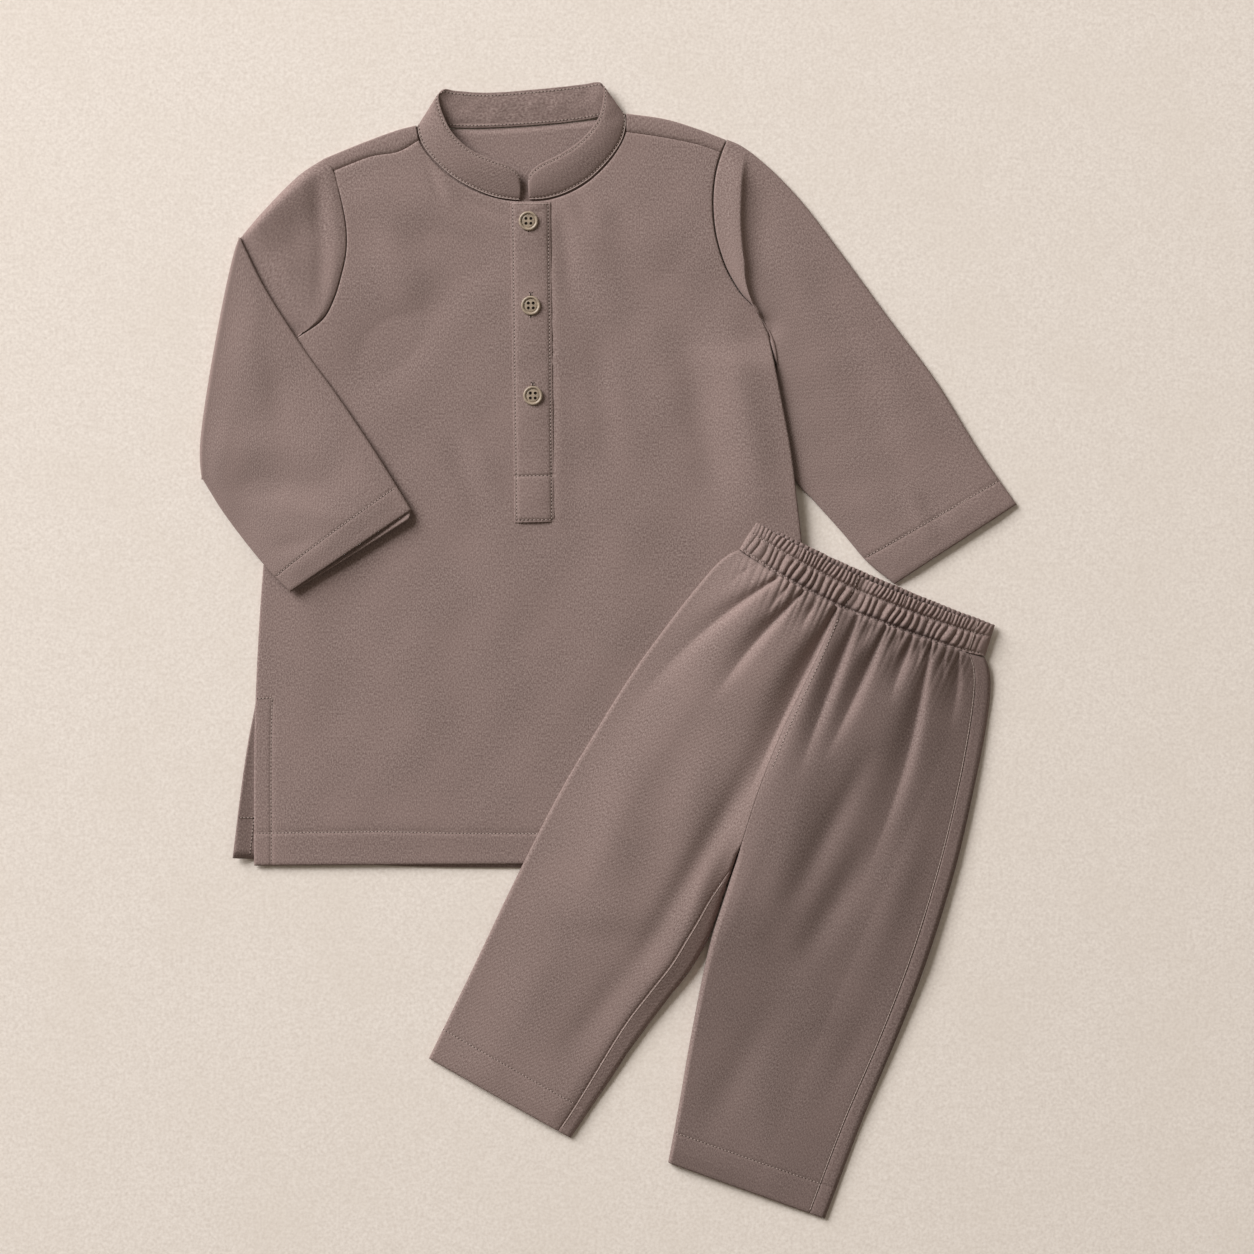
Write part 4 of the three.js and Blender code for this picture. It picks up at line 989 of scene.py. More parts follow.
SLEEVE_FOLDS = [
    (150, 190, 190, 120, 0.9, 12),
    (132, 176, 176, 106, -0.8, 9),
    (118, 200, 150, 150, 0.7, 10),
    (186, 92, 200, 74, -0.7, 5),
    (176, 96, 190, 70, 0.7, 5),
    (100, 240, 122, 205, 0.8, 10),
    (146, 92, 170, 74, 0.6, 7),
]


def head_fold(across, distance):
    """The sleeve head stands as a soft fold beside the armhole seam, steep on its far side."""
    ridge = np.interp(across, RIDGE_ACROSS, RIDGE_DISTANCE)
    rise = 0.3 + 0.7 * smoothstep(distance, -4, ridge + 2)
    past = np.maximum(distance - ridge, 0)
    drop = STEEP_SHARE * np.exp(-past / STEEP_RUN) + (1 - STEEP_SHARE) * np.exp(-past / SOFT_RUN)
    ends = smoothstep(across, 0, 0.16) * (1 - 0.75 * smoothstep(across, 0.7, 1))
    return RIDGE_HEIGHT * rise * drop * ends


def open_length(part):
    """From the armhole to the cuff, longest along the upper edge."""
    return SLEEVE_LENGTH * (0.62 + 0.38 * (1 - part))


def open_sleeve_place(share, v):
    width = np.linalg.norm(open_upper(v) - open_lower(v), axis=-1)
    across, level = sleeve_section(share, width)
    part = across / width
    p = open_patch(part, v)
    x, y = p[..., 0], p[..., 1]
    distance = v * SLEEVE_LENGTH
    inner = smoothstep(across, 0, 16) * smoothstep(width - across, 0, 16)
    folds = np.maximum(ridges(x, y, SLEEVE_FOLDS) + unevenness(x, y, 21, 0.35) + 0.55, 0)
    relief = folds * inner * smoothstep(distance, 34, 56) * (1 - smoothstep(distance, 255, 270))
    from_cuff = (1 - v) * open_length(part)
    relief = relief + dip(from_cuff - CUFF_HEM, *CUFF_DIP) + edge_roll(from_cuff)
    relief = relief + 0.8 * (1 - smoothstep(from_cuff, 0, 40)) * inner
    relief = relief + head_fold(part, distance) + seam_roll(distance)
    z = tube_z(level, FLAT_TUBE) + np.where(level > 0, relief * level, 0)
    return np.stack([x, y, tucked_in(x, y, z, RIGHT_UNDERARM)], -1)


def sleeve_grain(length, width):
    return lambda u, v: np.stack([u * 2 * width, v * length], -1)


def open_sleeve():
    close = np.linspace(0, 40 / SLEEVE_LENGTH, 40)
    rest = np.concatenate([np.linspace(40 / SLEEVE_LENGTH, 0.89, 60)[1:],
                           np.linspace(0.89, 0.945, 24)[1:], np.linspace(0.945, 1, 9)[1:]])
    near_hem = 1 - CUFF_HEM / SLEEVE_LENGTH / 0.8
    vs = with_lines(np.concatenate([close, rest]), [near_hem, 1.0], 0.9 / SLEEVE_LENGTH)
    piece = cloth_shell("sleeve_left_cloth", sleeve_columns(58), vs, open_sleeve_place,
                        sleeve_grain(SLEEVE_LENGTH, 110), "sleeve_left", "out")
    t = np.linspace(0.015, 0.482, 120)
    hem = 1 - CUFF_HEM / open_length((t - 0.02) / 0.46)
    return piece, [open_sleeve_place(t, hem) + np.array([0, 0, STITCH_RISE])]


# The other sleeve is folded over the front along this line
FOLD_LINE = np.array([(-218.5, 244.0), (-227.0, 203.0), (-235.0, 158.5), (-240.0, 122.0),
                      (-240.5, 101.5)])
FOLD_OUTWARDS = np.array([-0.988, 0.153])
FOLD_AXIS = FLAT_TUBE + SEAM_GAP / 2
fold_inset = [tuple(p) for p in FOLD_LINE - FOLD_OUTWARDS * FOLD_AXIS]
head_upper = smooth_line([(-166.6, 290.5), (-181.0, 281.0), (-203.0, 259.0), fold_inset[0]])
head_lower = eased(smooth_line([(-184.8, 183.9), (-212, 144), fold_inset[-1]]))
head_patch = patch(
    smooth_line(shifted([(-166.4, 290.3), *LEFT_ARMHOLE[::-1]], -ARMHOLE_GAP,
                        ARMHOLE_GAP / 2)),
    smooth_line(fold_inset), head_upper, head_lower)
folded_upper = smooth_line([fold_inset[0], (-202.0, 215.0), (-177.5, 176.5), (-158.0, 149.5),
                            (-135.5, 116.0), (-115.0, 83.0)])
folded_lower = smooth_line([fold_inset[-1], (-225.5, 81.0), (-202.0, 51.0), (-186.5, 35.0)])
folded_patch = patch(smooth_line(fold_inset), straight((-115.0, 83.0), (-186.5, 35.0)),
                     folded_upper, folded_lower)
FOLDED_LENGTH = 175.0
RIM_HEIGHT, HEAD_LOFT, CUFF_LIFT, CUFF_SWELL = 3.0, 1.5, 2.8, 1.4
# The cuff's lower layer peeps out past the upper one, and rises towards it
PEEP, PEEP_WAY, PEEP_RISE = 3.8, (0.69, -0.73), 0.34
HEAD_FOLDS = [
    (-171, 282, -168, 240, -1.5, 5.5),
    (-168, 242, -169, 206, -1.1, 5.0),
    (-194, 250, -186, 216, 0.7, 9.0),
    (-196, 262, -178, 244, -0.7, 6.0),
]
FOLDED_EDGE, AWAY_FROM_FOLDED = (-217, 243), (0.845, 0.533)
FOLDED_FOLDS = [
    (-232, 120, -176, 118, 1.0, 11),
    (-226, 96, -164, 98, -0.9, 8),
    (-212, 200, -206, 150, 0.8, 10),
    (-198, 170, -190, 128, -0.6, 8),
    (-186, 84, -150, 76, 0.7, 6),
    (-196, 60, -170, 66, -0.6, 5),
]


def folded_length(part):
    """From the fold to the cuff, longest along the upper edge."""
    return FOLDED_LENGTH * (0.68 + 0.45 * (1 - part))


def folded_sleeve_place(share, v):
    """Head up to v = 1, round the fold up to 2, and lying on the front up to 3."""
    head, down = np.clip(v, 0, 1), np.clip(v - 2, 0, 1)
    is_down = v > 2
    width = np.where(is_down,
                     np.linalg.norm(folded_upper(down) - folded_lower(down), axis=-1),
                     np.linalg.norm(head_upper(head) - head_lower(head), axis=-1))
    across, level = sleeve_section(share, width)
    part = across / width
    low, high = head_patch(part, head), folded_patch(part, down)
    inner = smoothstep(across, 0, 14) * smoothstep(width - across, 0, 14)
    z0 = tube_z(level, FLAT_TUBE)
    x, y = low[..., 0], low[..., 1]
    clear = (x - FOLDED_EDGE[0]) * AWAY_FROM_FOLDED[0] + (y - FOLDED_EDGE[1]) * AWAY_FROM_FOLDED[1]
    clear = smoothstep(clear, 0, 15) * (1 - smoothstep(head, 0.9, 1))
    rim = RIM_HEIGHT * smoothstep(across, -1, 4) * (1 - smoothstep(across, 4, 34))
    rim = rim * smoothstep(head, 0, 0.5)
    swell = HEAD_LOFT + unevenness(x, y, 31, 0.35) + ridges(x, y, HEAD_FOLDS)
    swell = swell * smoothstep(across, 0, 6) * smoothstep(width - across, 0, 14)
    head_relief = clear * (rim + np.maximum(swell, 0) * (0.45 + 0.55 * smoothstep(head, 0, 0.1)))
    head_z = z0 + np.where(level > 0, level * (head_relief + seam_roll(head * 60)), 0)
    head_z = tucked_in(x, y, head_z, LEFT_UNDERARM)
    radius = FOLD_AXIS - z0
    angle = (np.clip(v, 1, 2) - 1) * np.pi
    rounded = np.sqrt(np.clip(1 - (2 * np.clip(part, 0, 1) - 1) ** 6, 0, 1))
    turn = low + FOLD_OUTWARDS * (radius * np.sin(angle) * rounded)[..., None]
    turn_z = FOLD_AXIS - radius * np.cos(angle)
    middle = np.sin(np.pi * np.clip(part, 0, 1))
    hx, hy = high[..., 0], high[..., 1]
    folds = np.maximum(ridges(hx, hy, FOLDED_FOLDS) + unevenness(hx, hy, 41, 0.5) + 0.8, 0)
    from_cuff = (1 - down) * folded_length(part)
    skin = folds * inner * smoothstep(down, 0, 0.2) * (1 - smoothstep(down, 0.9, 1))
    skin = skin + CUFF_SWELL * middle * smoothstep(down, 0.5, 1)
    skin = skin + dip(from_cuff - CUFF_HEM, *FOLDED_CUFF_DIP) + 0.6 * edge_roll(from_cuff)
    lift = CUFF_LIFT * smoothstep(down, 0.35, 1)
    down_z = 2 * FOLD_AXIS - z0 + lift + np.where(level < 0, -level * skin, 0)
    peep = PEEP * smoothstep(part, 0, 0.06) * np.clip(1 - part, 0, 1) ** 0.5
    peep = peep * smoothstep(down, 0.85, 1) * (level > 0)
    down_z = down_z + PEEP_RISE * peep * smoothstep(down, 0.972, 1)
    high = high + np.outer(peep, PEEP_WAY)
    turned = (v > 1) & ~is_down
    xy = np.where(is_down[..., None], high, np.where(turned[..., None], turn, low))
    z = np.where(is_down, down_z, np.where(turned, turn_z, head_z))
    return np.concatenate([xy, z[..., None]], -1)


def folded_sleeve():
    near_hem = 3 - CUFF_HEM / FOLDED_LENGTH / 0.9
    base = np.concatenate([np.linspace(0, 0.06, 6), np.linspace(0.06, 1, 34)[1:],
                           np.linspace(1, 2, 13)[1:], np.linspace(2, 2.85, 54)[1:],
                           np.linspace(2.85, 2.92, 20)[1:], np.linspace(2.92, 3, 8)[1:]])
    vs = with_lines(base, [near_hem, 3.0], 0.9 / FOLDED_LENGTH)
    piece = cloth_shell("sleeve_right_cloth", sleeve_columns(58), vs, folded_sleeve_place,
                        lambda u, v: np.stack([u * 230, np.where(v > 2, v - 1.9, v * 0.4) * 170],
                                              -1), "sleeve_right", "out")
    t = np.linspace(-0.482, -0.018, 120)
    hem = 3 - CUFF_HEM / folded_length((-t - 0.02) / 0.46)
    return piece, [folded_sleeve_place(t, hem) + np.array([0, 0, STITCH_RISE])]


# Trousers, in their own frame: x across the waist and y up to it

TUNIC_SIDE_AT_CHEST, TUNIC_SIDE_FLARE, TUNIC_SIDE_CHEST_Y = 114.6, 0.0656, 66
TUNIC_HEM_LOWEST = -128.4
STEP_START, STEP_END = 9, 115
CUFF_CORNER, CUFF_CORNER_REACH = (162, 45), 6


def to_world(local):
    c, s = math.cos(TROUSER_TURN), math.sin(TROUSER_TURN)
    return local @ np.array([[c, s], [-s, c]]) + TROUSER_ORIGIN


def rest_height(x, y):
    """What the trousers lie on: the tunic, a cuff's corner, or the surface below both."""
    side = TUNIC_SIDE_AT_CHEST + (TUNIC_SIDE_CHEST_Y - y) * TUNIC_SIDE_FLARE
    outside = np.maximum(x - side, TUNIC_HEM_LOWEST - y)
    on_tunic = 1 - smoothstep(outside, STEP_START, STEP_END)
    from_cuff = np.hypot(x - CUFF_CORNER[0], y - CUFF_CORNER[1]) - CUFF_CORNER_REACH
    on_cuff = 1 - smoothstep(from_cuff, STEP_START, STEP_END)
    return ON_TUNIC * np.maximum(on_tunic, on_cuff)


BAND_FOOT = [(-77.6, -18.4), (-55.0, -22.6), (-30.0, -25.4), (-7.7, -26.4), (11.2, -25.4),
             (38.6, -23.7), (65.4, -21.1), (80.4, -18.4)]
BAND_TOP = [(-75.4, 0.9), (-45.0, -0.6), (-8.7, -1.7), (28.9, -1.4), (56.4, -0.6), (78.4, 0.6)]
FRONT_TOP_DROP = 3.4
band_foot, band_top = smooth_line(BAND_FOOT), smooth_line(BAND_TOP)
band_patch = patch(band_foot, band_top, straight(BAND_FOOT[0], BAND_TOP[0]),
                   straight(BAND_FOOT[-1], BAND_TOP[-1]))
CENTRE_SEAM = [(-10.6, -26.6), (-10.4, -52.0), (-11.2, -80.0), (-12.0, -110.0), (-10.8, -145.0),
               (-7.9, -174.4)]
LEGS = {
    "left": {
        "outer": [(-77.6, -18.8), (-82.0, -23.6), (-86.4, -32.0), (-90.1, -43.5),
                  (-95.5, -62.9), (-101.2, -86.7), (-106.5, -111.4), (-113.3, -157.1),
                  (-117.6, -192.2), (-121.2, -252.0), (-123.3, -311.6), (-125.8, -366.7)],
        "inner": [(-7.9, -174.4), (-4.2, -213.9), (-2.6, -233.0), (-4.6, -257.0),
                  (-9.8, -278.2), (-15.7, -301.5), (-22.8, -336.7), (-30.3, -376.4)],
        "seam_outer": 0.0, "seam_inner": INSEAM_IN, "end": 0, "inner_fall": 17.0,
    },
    "right": {
        "outer": [(80.4, -18.8), (85.0, -23.4), (88.8, -29.5), (92.6, -38.9), (97.8, -56.3),
                  (101.2, -69.9), (106.4, -93.2), (114.5, -138.9), (121.0, -199.1),
                  (123.2, -249.3), (123.4, -300.0), (126.1, -360.3)],
        "inner": [(-7.9, -174.4), (-3.6, -213.9), (-2.0, -231.0), (1.0, -249.3),
                  (6.8, -276.3), (13.4, -304.9), (20.0, -331.6), (28.0, -366.6)],
        "seam_outer": SIDE_SEAM_IN, "seam_inner": 0.0, "end": 1, "inner_fall": 1.2,
    },
}
# Folds that fall from the gathers: start, end, bow, depth and half width
TROUGHS = [
    (-51, -26, -101, -142, -8, 11.5, 6.0),
    (-34, -28, -57, -104, -2, 6.8, 4.2),
    (-11.6, -28, -16.0, -150, -0.6, 13.5, 5.0),
    (2, -26, 6, -124, 0, 7.0, 4.4),
    (19.5, -26, 17, -110, 1, 6.6, 4.2),
    (36, -26, 38.5, -66, 0, 4.6, 3.4),
    (48, -26, 66, -176, 6, 8.4, 5.2),
    (65.5, -24, 78, -68, 2, 5.6, 3.8),
]
# Smaller gathers between them, and soft creases lower down the legs
SMALL_GATHERS = [
    (-66, -24, -78, -46, -1, 1.6, 2.6),
    (-43, -27, -50, -52, 0, 1.4, 2.4),
    (-24, -28, -27, -50, 0, 1.5, 2.4),
    (11, -26, 11, -46, 0, 1.3, 2.4),
    (28, -26, 29, -44, 0, 1.3, 2.4),
    (42, -26, 45, -42, 0, 1.2, 2.2),
    (57, -26, 63, -44, 0, 1.3, 2.4),
    (73, -23, 82, -40, 1, 1.3, 2.4),
]
LEG_FOLDS = [
    (-16, -110, -34, -260, -2.6, 8),
    (-34, -255, -52, -330, -1.2, 9),
    (-92, -150, -66, -250, 1.4, 16),
    (-48, -130, -40, -200, 1.3, 12),
    (-78, -252, -30, -236, 0.5, 10),
    (-86, -268, -40, -252, -0.5, 9),
    (-104, -300, -60, -330, 0.9, 14),
    (14, -120, 22, -215, 1.6, 11),
    (62, -150, 52, -225, -2.0, 9),
    (40, -100, 34, -190, -1.6, 7),
    (86, -110, 92, -210, 1.2, 10),
    (22, -215, 60, -245, -1.0, 9),
    (40, -230, 84, -262, 1.0, 12),
    (60, -300, 84, -346, 0.9, 13),
    (104, -230, 100, -300, -0.8, 8),
    (48, -260, 40, -340, -0.9, 10),
]


def trough_depth(x, y, rows):
    """Hollows that start as a sharp pleat under the casing and open out as they fall."""
    total = np.zeros_like(x)
    for x0, y0, x1, y1, bow, depth, width in rows:
        down = np.clip((y - y0) / (y1 - y0), -0.1, 1.1)
        inside = np.clip(down, 0, 1)
        centre = x0 + (x1 - x0) * down + bow * np.sin(np.pi * inside)
        fade = 1 - smoothstep(down, 0.25, 1.1)
        off = (x - centre) / (width * (0.24 + 1.9 * inside ** 0.8))
        shape = np.where(off < 0, np.exp(-(np.abs(off) / 1.25) ** 1.3),
                         np.exp(-(np.abs(off) / 0.44) ** 1.3))
        total += depth * fade * shape * (0.3 + 0.7 * smoothstep(down, 0, 0.35))
    return total


def plain_at_seam(across):
    """The ribs fade at the casing's seam."""
    return 1 - 0.8 * np.exp(-((across - CASING_SEAM_AT) / CASING_SEAM_WIDTH) ** 2)


def rib_wave(across):
    """Ribs of the gathered casing: round on top, sharp between, uneven, plain at the centre."""
    rng = random.Random(7)
    waves = [(rng.uniform(11, 42), rng.uniform(0, 6.3), rng.uniform(0.2, 0.6)) for _ in range(5)]
    shift = sum(a * np.sin(across * 2 * np.pi / length + phase) for length, phase, a in waves)
    phase = np.pi * (across / 156.0 * WAIST_RIBS + 0.22 * shift)
    size = 0.82 + 0.18 * np.sin(across / 5.3 + 1.0)
    return np.abs(np.sin(phase)) ** 0.75 * size * plain_at_seam(across)


def trouser_fullness(x, y, across_waist, edge):
    fade = np.exp((y + BAND_HEIGHT) / FULLNESS_FADE)
    full = LEG_FULLNESS + HIP_FULLNESS * fade
    deep = trough_depth(x, y, TROUGHS) + trough_depth(x, y, SMALL_GATHERS)
    below = np.clip(-y - 22, 0, None)
    puckers = PUCKER_HEIGHT * rib_wave(across_waist) * np.exp(-below / PUCKER_REACH)
    soft = ridges(x, y, LEG_FOLDS) + unevenness(x, y, 51, 0.4)
    low = smoothstep(-y, 60, 110)
    beside = x - TENT_AT
    away = np.sqrt(beside**2 + TENT_ROUNDING**2) - TENT_ROUNDING
    tent = np.where(beside > 0, TENT_HEIGHT - away / TENT_FALL_RIGHT,
                    TENT_HEIGHT * np.exp(-away / TENT_REACH_LEFT))
    tent = tent * (1 - 0.5 * smoothstep(-beside, -8, 12) * smoothstep(-y, 110, 220))
    tent = tent * (1 - 0.7 * smoothstep(-y, 200, 330))
    tent = np.clip(tent, 0, TENT_HIGHEST) * smoothstep(-y, 26, 100)
    height = np.maximum(full + tent + puckers + soft * low, 0)
    return (LEAST_FULLNESS + height * np.exp(-deep / TROUGH_SCALE)) * edge


def leg_lines(leg):
    inside = smooth_line([*CENTRE_SEAM, *leg["inner"][1:]])
    outside = smooth_line(leg["outer"])
    centre_share = (CENTRE_SEAM[0][0] - BAND_FOOT[0][0]) / (BAND_FOOT[-1][0] - BAND_FOOT[0][0])
    top = lambda t: band_foot(leg["end"] + (centre_share - leg["end"]) * np.asarray(t)) + (
        np.array([0, -2 * HALF_GAP]))
    flat = patch(top, straight(leg["outer"][-1], leg["inner"][-1]), outside, inside)
    return inside, outside, flat


LEG_LENGTH = 352.0
# Down from the waist: where the turned strip narrows, and where the centre seam lies unpressed
STRIP_NARROWS, SEAM_RISES, SEAM_SINKS = (290, 370), (80, 130), (176, 196)
SEAM_RIDGES = []


def leg_place(leg, is_front):
    inside, outside, flat = leg_lines(leg)

    def place(u, v):
        inner_point = inside(v)
        closing = smoothstep(-inner_point[..., 1], CROTCH_DOWN + 1, CROTCH_DOWN + CROTCH_BLEND)
        width = np.linalg.norm(outside(v) - inner_point, axis=-1)
        section = width + (1 - closing) * EDGE_SOFTNESS
        half = section - 2 * EDGE_SOFTNESS + 2 * QUARTER
        opened = QUARTER * (1 - closing)
        shown = np.clip((-inner_point[..., 1] - INSEAM_START) / (INSEAM_FULL - INSEAM_START), 0, 1)
        strip = leg["seam_inner"] * np.sin(np.pi / 2 * shown)
        strip = strip * (1 - 0.28 * smoothstep(-inner_point[..., 1], *STRIP_NARROWS))
        inner_seam = half - opened - strip
        inner_under = half + opened - strip
        if is_front:
            start, stop = leg["seam_outer"] + HALF_GAP, inner_seam - HALF_GAP
        else:
            start, stop = inner_under + HALF_GAP, 2 * half + leg["seam_outer"] - HALF_GAP
        along = start + (stop - start) * u
        across, level = tube_section(along, section)
        share = np.minimum(across / width, 1 - HALF_GAP / width)
        local = flat(share, v)
        world = to_world(local)
        outer_edge = smoothstep(across, -3, 42)
        parting = smoothstep(-inner_point[..., 1], CROTCH_DOWN - 6, CROTCH_DOWN + 44)
        inner_edge = 1 + (smoothstep(width - across, -1, leg["inner_fall"]) - 1) * parting
        waist = local[..., 0] - BAND_FOOT[0][0]
        relief = trouser_fullness(local[..., 0], local[..., 1], waist, outer_edge * inner_edge)
        hem = (1 - v) * LEG_LENGTH
        seam = np.minimum(along - start, stop - along)
        relief = relief * (1 - smoothstep(hem, 10, 0) * 0.5)
        at_centre = stop - along < along - start if is_front else along > half
        pressed = 1 - smoothstep(-inner_point[..., 1], *SEAM_RISES) * (
            1 - smoothstep(-inner_point[..., 1], *SEAM_SINKS)) * at_centre
        relief = relief + dip(hem - HEM, *TROUSER_HEM_DIP) + edge_roll(hem)
        relief = relief + seam_roll(seam) * pressed
        relief = relief + dip(v * LEG_LENGTH, 1.0, 0.9)
        z = rest_height(world[..., 0], world[..., 1]) + tube_z(level, FLAT_TUBE)
        z = z + np.where(level > 0, relief * level, 0)
        return np.concatenate([world, z[..., None]], -1)

    def grain(u, v):
        return np.stack([u * 125 + (0 if is_front else 200), v * LEG_LENGTH], -1)

    return place, grain


def trouser_panel(side, is_front):
    leg = LEGS[side]
    place, grain = leg_place(leg, is_front)
    columns = 130 if is_front else 46
    us = with_lines(stations([0, 1], [columns]), [0.0, 1.0], 0.7 / 110)
    down = stations([0, 0.2, 0.5, 1], [74, 60, 74]) if is_front else stations([0, 1], [90])
    vs = with_lines(down, [0.0, 1 - HEM / LEG_LENGTH, 1.0], 0.8 / LEG_LENGTH)
    end = "front" if is_front else "back"
    # The right leg gets the darker copy of the cloth: painted shade
    piece = cloth_shell(f"leg_{side}_{end}_cloth", us, vs, place, grain,
                        f"leg_{side}_{end}", "up" if is_front else "down",
                        cloth=TWILL_PAINTED_SHADE if side == "right" else TWILL)
    runs = []
    if is_front:
        hem_v = 1 - HEM / LEG_LENGTH
        runs = [run_on(place, [0.01, 0.99], [hem_v, hem_v])]
        if side == "right":
            runs.append(run_on(place, [0.975, 0.975], [0.02, 0.3]))
            SEAM_RIDGES.append(run_on(place, [0.006, 0.006], [0.005, 0.995], 500))
    elif leg["seam_inner"]:
        SEAM_RIDGES.append(run_on(place, [0.006, 0.006], [0.5, 0.99], 400))
    return piece, runs


# Shares of the casing's columns: its first turn, the front, the second turn and the back
CASING_MARKS = [0, 0.02, 0.62, 0.64, 1]


def band_place(u, v):
    """Round the casing from its side: across the ribbed front, then along the back."""
    width = WAIST_WIDTH - WAIST_TAPER * v
    half = width - 2 * EDGE_SOFTNESS + 2 * QUARTER
    places = [-QUARTER + HALF_GAP + 0 * half, QUARTER + 0 * half, half - QUARTER,
              half + QUARTER, 2 * half - QUARTER - HALF_GAP]
    across, level = tube_section(placed_between(u, CASING_MARKS, places), width)
    share = across / width
    local = band_patch(share, v)
    on_front = np.maximum(level, 0)
    belly = np.sqrt(np.clip(np.sin(np.pi * np.clip(share, 0, 1)), 0, 1))
    local[..., 1] -= FRONT_TOP_DROP * on_front * v * belly
    height = v * BAND_HEIGHT
    stitch = BAND_HEIGHT - HEADING_HEIGHT
    sway = across + 0.5 * np.sin(height / 3.1 + across / 5.0)
    ribs = RIB_HEIGHT * rib_wave(sway)
    in_heading = smoothstep(height, stitch - 0.5, stitch + 1.5)
    heading = HEADING_RUFFLE * np.abs(
        np.sin(np.pi * sway / RUFFLE_PITCH + 0.9 * np.sin(sway / 7.0))) ** 0.7
    ribs = ribs * (1 - 0.6 * in_heading) + heading * plain_at_seam(sway) * in_heading
    pinch = -dip(height - stitch, CASING_PINCH, 1) - dip(height - CASING_FOOT, CASING_PINCH, 1)
    ribs = ribs * (1 - 0.7 * pinch)
    sewn = dip(height - stitch, *CASING_DIP) + dip(height - CASING_FOOT, *CASING_DIP)
    swell = 0.7 * np.sin(np.pi * np.clip(height / stitch, 0, 1))
    relief = belly * (WAIST_FULLNESS + ribs + sewn + swell) + edge_roll(BAND_HEIGHT - height)
    inner_ribs = 1.5 * np.abs(np.sin(np.pi * across / 2.9 + np.sin(across / 9.0))) ** 0.7
    peeping = smoothstep(height, 15.6, 18.2)
    under = (2.4 + inner_ribs) * peeping * belly * np.maximum(-level, 0)
    world = to_world(local)
    ruffle = 0.7 * (rib_wave(across * 1.4 + 5) - 0.4) * smoothstep(height, 14, BAND_HEIGHT)
    world = world + np.outer(np.ones(len(ruffle)), [math.sin(-TROUSER_TURN),
                                                    math.cos(TROUSER_TURN)]) * ruffle[:, None]
    z = rest_height(world[..., 0], world[..., 1]) + tube_z(level, FLAT_TUBE)
    z = z + on_front * relief + under
    return np.concatenate([world, z[..., None]], -1)


def waistband():
    us = stations(CASING_MARKS, [6, 14 * WAIST_RIBS, 6, 6 * WAIST_RIBS])
    stitch = 1 - HEADING_HEIGHT / BAND_HEIGHT
    vs = with_lines(stations([0, 1], [18]), [0.05, stitch, 1.0], 0.35 / BAND_HEIGHT)
    piece = cloth_shell("waistband_cloth", us, vs, band_place,
                        lambda u, v: np.stack([u * 520, v * BAND_HEIGHT], -1), "waistband",
                        "out")
    SEAM_RIDGES.append(run_on(band_place, [0.587, 0.587], [0.03, 0.97], 60))
    return piece, [
        run_on(band_place, [0.287, 0.287], [0.03, 0.97], 60),
        run_on(band_place, [0.022, 0.618], [stitch, stitch], 1400),
        run_on(band_place, [0.022, 0.618], [0.05, 0.05], 1400),
    ]


# Buttons and buttonholes

BUTTON_RADIUS, BUTTON_THICKNESS = 5.7, 2.4
HOLE_PLACE, HOLE_SIZE = 1.45, 0.92
BUTTONS = {"button_top": (-46.2, 253.2), "button_middle": (-44.8, 203.4),
           "button_bottom": (-43.6, 150.4)}
BUTTONHOLE_REACH, BUTTONHOLE_WIDTH, BUTTONHOLE_LENGTH, BUTTONHOLE_DEPTH = 3.7, 0.9, 8.0, 0.35
WHIPPED_IN, WHIPPED_LEAN, WHIPPED_END, WHIPPED_UNDER_COLLAR = 0.75, 0.2, 7.6, -4.0
SHADE_RADIUS, SHADE_THICKNESS, SHADE_HEIGHT = 2.6, 0.4, 1.3


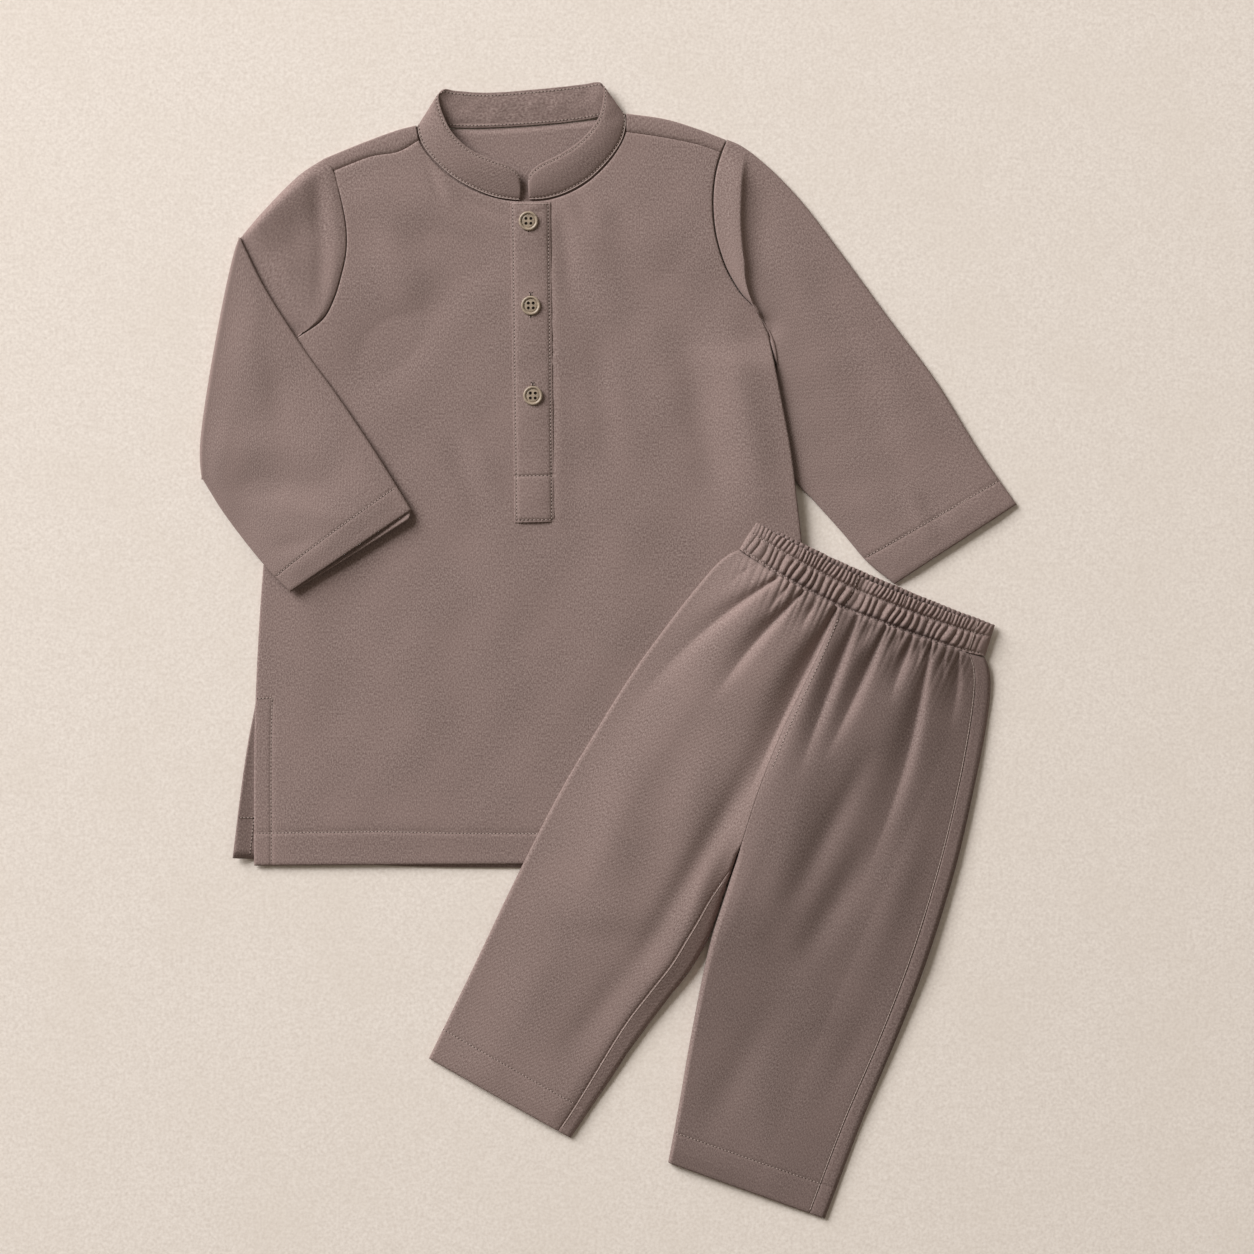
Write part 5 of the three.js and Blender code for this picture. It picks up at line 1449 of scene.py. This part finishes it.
def button(name, x, y):
    """Turned on a lathe, with a rim and a dished middle, then drilled."""
    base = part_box(name)[0].z / MM
    profile = [(0, 0), (4.8, 0), (5.5, 0.35), (BUTTON_RADIUS, 0.9), (BUTTON_RADIUS, 1.6),
               (5.55, 2.15), (5.2, BUTTON_THICKNESS), (4.75, BUTTON_THICKNESS), (4.4, 2.2),
               (4.15, 1.6), (3.9, 1.5), (3.6, 1.75), (3.1, 1.85), (0, 1.7)]
    bm = bmesh.new()
    verts = [bm.verts.new((r * MM, 0, z * MM)) for r, z in profile]
    edges = [bm.edges.new(pair) for pair in zip(verts, verts[1:])]
    bmesh.ops.spin(bm, geom=verts + edges, cent=(0, 0, 0), axis=(0, 0, 1),
                   angle=2 * math.pi, steps=56, use_merge=True)
    bmesh.ops.remove_doubles(bm, verts=bm.verts[:], dist=1e-6)
    bmesh.ops.recalc_face_normals(bm, faces=bm.faces[:])
    body = object_from(name + "_body", bm)
    drill = bmesh.new()
    for dx in (-HOLE_PLACE, HOLE_PLACE):
        for dy in (-HOLE_PLACE, HOLE_PLACE):
            place = Matrix.Translation((dx * MM, dy * MM, 0))
            bmesh.ops.create_cone(drill, cap_ends=True, segments=20, radius1=HOLE_SIZE * MM,
                                  radius2=HOLE_SIZE * MM, depth=8 * MM, matrix=place)
    tool = object_from(name + "_drill", drill)
    cut = body.modifiers.new("holes", "BOOLEAN")
    cut.operation, cut.solver, cut.object = "DIFFERENCE", "EXACT", tool
    bpy.context.view_layer.update()
    cooked = body.evaluated_get(bpy.context.evaluated_depsgraph_get())
    mesh = bpy.data.meshes.new_from_object(cooked)
    mesh.name = name + "_turned"
    tilt = Matrix.Rotation(math.radians(2.0), 4, "X")
    mesh.transform(Matrix.Translation((x * MM, y * MM, (base + 0.1) * MM)) @ tilt)
    mesh.shade_smooth()
    mesh.set_sharp_from_angle(angle=math.radians(40))
    for obj in (body, tool):
        bpy.data.objects.remove(obj)
    dress(add_object(name + "_turned", mesh), BUTTON, "button", name)
    # Under the holes, a dark disc in painted shade, seen through them
    under = bmesh.new()
    middle = Matrix.Translation((x * MM, y * MM, (base + SHADE_HEIGHT) * MM))
    bmesh.ops.create_cone(under, cap_ends=True, segments=24, radius1=SHADE_RADIUS * MM,
                          radius2=SHADE_RADIUS * MM, depth=SHADE_THICKNESS * MM, matrix=middle)
    dress(object_from(name + "_hole_shade", under), PAINTED_HOLE_SHADE, "button")


def buttonhole(name, x, y):
    """A worked slot below and above the button, whose whipped edges are sewn with the rest."""
    z = (placket_height(x, y) + 0.02) * MM
    highest = name == "button_top"
    runs = []
    upper_end = WHIPPED_UNDER_COLLAR if highest else WHIPPED_END
    for side in (-WHIPPED_IN, WHIPPED_IN):
        run = np.linspace([x + side, y + upper_end, 0],
                          [x + side + WHIPPED_LEAN, y - WHIPPED_END, 0], 30)
        run[:, 2] = z / MM + 0.12
        runs.append(run)
    # The slot's opening: a dark lens in painted shade
    slot = Matrix.Diagonal((BUTTONHOLE_WIDTH * MM, BUTTONHOLE_LENGTH * MM,
                            BUTTONHOLE_DEPTH * MM, 1))
    bm = bmesh.new()
    for way in (-1,) if highest else (-1, 1):
        middle = Matrix.Translation((x * MM, (y + way * BUTTONHOLE_REACH) * MM, z))
        bmesh.ops.create_uvsphere(bm, u_segments=12, v_segments=6, radius=0.5,
                                  matrix=middle @ slot)
    piece = object_from(name.replace("button", "buttonhole"), bm)
    piece.data.shade_smooth()
    dress(piece, PAINTED_HOLE_SHADE, "cotton_twill")
    return runs


def placket_height(x, y):
    v = (y - PLACKET["left"][0][1]) / PLACKET_LENGTH
    left = straight(*PLACKET["left"])(np.array(v))
    u = (x - left[0]) / PLACKET_WIDTH
    return float(placket_place(np.array([u]), np.array([v]))[0, 2])


# The whole garment

def build_garment():
    tunic_runs, trouser_runs = [], []
    for make in (tunic_back, tunic_front, placket, open_sleeve, folded_sleeve):
        tunic_runs += make()[1]
    collar()
    runs, seams = collar_stitches()
    tunic_runs += runs
    seams.append(run_on(placket_place, [0.04, 0.96], [0.992, 0.992], 60))
    for side in LEGS:
        for is_front in (True, False):
            trouser_runs += trouser_panel(side, is_front)[1]
    trouser_runs += waistband()[1]
    for name, (x, y) in BUTTONS.items():
        button(name, x, y)
        tunic_runs += buttonhole(name, x, y)
    sew("tunic_sewing", tunic_runs, seams)
    sew("trouser_sewing", trouser_runs, SEAM_RIDGES)


# Stage

PHOTO_WIDTH = 1254 * 0.59 * MM
LENS, SENSOR = 100.0, 36.0
VIEW_CENTRE = (11.8 * MM, 14.2 * MM)
# The paper in metres: half its side, and how far it lies below the set's underside
PAPER_HALF_SIDE, PAPER_BELOW = 2.5, 0.4 * MM
# Each light: its name, place and size in metres, power in watts and colour
LIGHTS = [
    ("key", (-5.2, 4.6, 3.6), 4.4, 1046, (1.0, 1.0, 1.01)),
    ("fill", (2.4, 0.9, 2.6), 2.0, 7, (1.0, 0.99, 0.98)),
]
ROOM_COLOUR, ROOM_STRENGTH = (1.0, 0.87, 0.7, 1), 0.2


def stage():
    bm = bmesh.new()
    bmesh.ops.create_grid(bm, x_segments=1, y_segments=1, size=PAPER_HALF_SIDE)
    bmesh.ops.translate(bm, vec=(0, 0, -PAPER_BELOW), verts=bm.verts[:])
    floor = object_from("floor", bm)
    floor.data.materials.append(PAPER)

    camera_data = bpy.data.cameras.new("camera")
    camera_data.lens, camera_data.sensor_width = LENS, SENSOR
    camera = add_object("camera", camera_data)
    camera.location = (*VIEW_CENTRE, PHOTO_WIDTH / SENSOR * LENS)
    bpy.context.scene.camera = camera
    for name, place, size, power, colour in LIGHTS:
        data = bpy.data.lights.new(name, "AREA")
        data.size, data.energy, data.color = size, power, colour
        light = add_object(name, data)
        light.location = place
        light.rotation_euler = (-Vector(place)).to_track_quat("-Z", "Y").to_euler()
    world = bpy.data.worlds.new("studio")
    world.use_nodes = True
    backdrop = world.node_tree.nodes["Background"]
    backdrop.inputs["Color"].default_value = ROOM_COLOUR
    backdrop.inputs["Strength"].default_value = ROOM_STRENGTH
    bpy.context.scene.world = world
    bpy.context.scene.view_settings.view_transform = "Standard"


build_garment()
stage()
